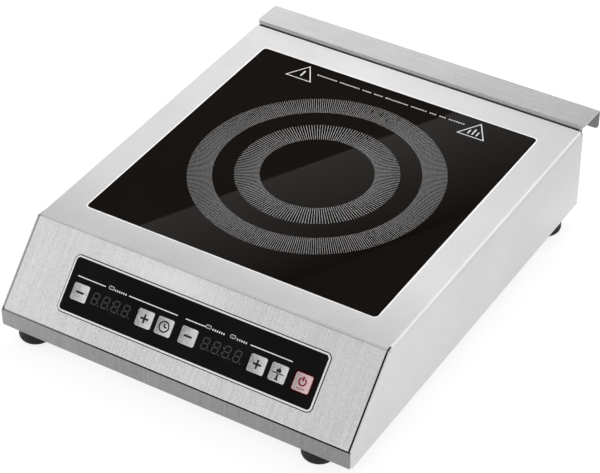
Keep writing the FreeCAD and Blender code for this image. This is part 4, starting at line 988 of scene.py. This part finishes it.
def zone_fade(nodes, links, direction, zone):
    """One away from a zone of the room, and the zone's level inside it."""
    facing = nodes.new("ShaderNodeVectorMath")
    facing.operation = "DOT_PRODUCT"
    facing.inputs[1].default_value = Vector(zone["towards"]).normalized()
    links.new(direction, facing.inputs[0])
    fade = nodes.new("ShaderNodeMapRange")
    fade.interpolation_type = "SMOOTHSTEP"
    fade.inputs["From Min"].default_value = math.cos(math.radians(zone["outer"]))
    fade.inputs["From Max"].default_value = math.cos(math.radians(zone["inner"]))
    fade.inputs["To Min"].default_value = 1.0
    fade.inputs["To Max"].default_value = zone["level"]
    links.new(facing.outputs["Value"], fade.inputs["Value"])
    return fade.outputs["Result"]


def soft_world():
    """A pale room: dark where the glass looks, and dimmer overhead, in front and to the right."""
    world = bpy.data.worlds.new("soft_room")
    bpy.context.scene.world = world
    world.use_nodes = True
    nodes = world.node_tree.nodes
    links = world.node_tree.links
    direction = nodes.new("ShaderNodeTexCoord").outputs["Generated"]
    first, *others = [zone_fade(nodes, links, direction, zone) for zone in ROOM_ZONES]
    shade = first
    for fade in others:
        product = nodes.new("ShaderNodeMath")
        product.operation = "MULTIPLY"
        links.new(shade, product.inputs[0])
        links.new(fade, product.inputs[1])
        shade = product.outputs["Value"]
    background = nodes["Background"]
    links.new(shade, background.inputs["Color"])
    background.inputs["Strength"].default_value = ROOM_LEVEL


def reflection_card():
    """A soft light card that shows in the glass as a pale slanting band with one sharp edge.

    Its corners are found by mirroring the camera in the glass, so the band's edge runs across the
    glass from the front left to the rear right.
    """
    glass = glass_plane()
    eye, _ = camera_place()
    mirrored = Vector((eye.x, eye.y, 2 * glass.origin.z - eye.z))

    def seen_at(place):
        spot = glass.origin + Vector((place.x, place.y, 0.0))
        ray = (spot - mirrored).normalized()
        return spot + ray * (CARD_HEIGHT / ray.z)

    across = Vector((CARD_EDGE_TO.y - CARD_EDGE_FROM.y, CARD_EDGE_FROM.x - CARD_EDGE_TO.x)).normalized()
    edge_low = seen_at(CARD_EDGE_FROM)
    edge_high = seen_at(CARD_EDGE_TO)
    far_low = seen_at(CARD_EDGE_FROM + across * CARD_FADE)
    far_high = seen_at(CARD_EDGE_TO + across * CARD_FADE)
    bm = bmesh.new()
    layer = bm.loops.layers.uv.new("fade")
    for step in range(CARD_STEPS):
        share = step / CARD_STEPS
        following = (step + 1) / CARD_STEPS
        corners = [edge_low.lerp(far_low, share), edge_low.lerp(far_low, following),
                   edge_high.lerp(far_high, following), edge_high.lerp(far_high, share)]
        face = bm.faces.new([bm.verts.new(corner) for corner in corners])
        for loop, faded in zip(face.loops, (share, following, following, share)):
            loop[layer].uv = (faded, 0.5)
    card = mesh_object("reflection_card", bm)
    card.data.materials.append(card_glow())
    card.visible_camera = False
    card.visible_shadow = False
    card.visible_diffuse = False


def card_glow():
    """Light that fades away from the card's sharp edge."""
    material = bpy.data.materials.new("card_glow")
    material.use_nodes = True
    nodes = material.node_tree.nodes
    links = material.node_tree.links
    nodes.remove(nodes["Principled BSDF"])
    uv = nodes.new("ShaderNodeUVMap")
    uv.uv_map = "fade"
    split = nodes.new("ShaderNodeSeparateXYZ")
    links.new(uv.outputs["UV"], split.inputs["Vector"])
    fade = nodes.new("ShaderNodeMapRange")
    fade.inputs["From Min"].default_value = 0.0
    fade.inputs["From Max"].default_value = 1.0
    fade.inputs["To Min"].default_value = CARD_GLOW
    fade.inputs["To Max"].default_value = 0.0
    links.new(split.outputs["X"], fade.inputs["Value"])
    emission = nodes.new("ShaderNodeEmission")
    emission.inputs["Color"].default_value = grey(1.0)
    links.new(fade.outputs["Result"], emission.inputs["Strength"])
    links.new(emission.outputs["Emission"], nodes["Material Output"].inputs["Surface"])
    return material


def add_lights():
    """The soft lamps round the hob."""
    for name, lamp in LAMPS.items():
        area_light(name, **lamp)


def build():
    """Paints the CAD nodes, adds the printed pieces, and sets up the room."""
    bpy.context.scene.view_settings.view_transform = "Standard"
    add_camera()
    finishes = finish_by_slot()
    glass = glass_plane()
    window = window_plane()
    paint_nodes(finishes, {"rear_hood": hood_steel()} | key_faces(window))
    ring_ink = print_ink("pale_glass_ink", grey(0.50), grey(0.42))
    mark_ink = print_ink("white_glass_ink", grey(0.56), grey(0.44))
    window_ink = print_ink("white_window_ink", grey(0.92), grey(0.78))
    digit_ink = print_ink("unlit_digit", grey(0.055), grey(0.035))
    dark_ink = print_ink("dark_key_ink", grey(0.008), grey(0.004))
    red_ink = print_ink("red_key_ink", tinted(0.25, 0.008, 0.02), tinted(0.18, 0.005, 0.014))
    flat_piece("glass_rings", glass, ring_strokes, ring_ink, CASING)
    flat_piece("glass_marks", glass, glass_marks, mark_ink, CASING)
    flat_piece("window_lines", window, window_lines, window_ink, CASING)
    flat_piece("lamp_outlines", window, lamp_outlines(window), window_ink, CASING)
    for node in ("timer_display", "power_display"):
        flat_piece(node + "_digits", window, display_digits(window, node), digit_ink, CASING)
    flat_piece("on_off_glow", window, on_off_glow(window), glow_ink(), CASING)
    key_icons(window, dark_ink, red_ink)
    add_floor(pale_floor())
    soft_world()
    reflection_card()
    add_lights()


build()
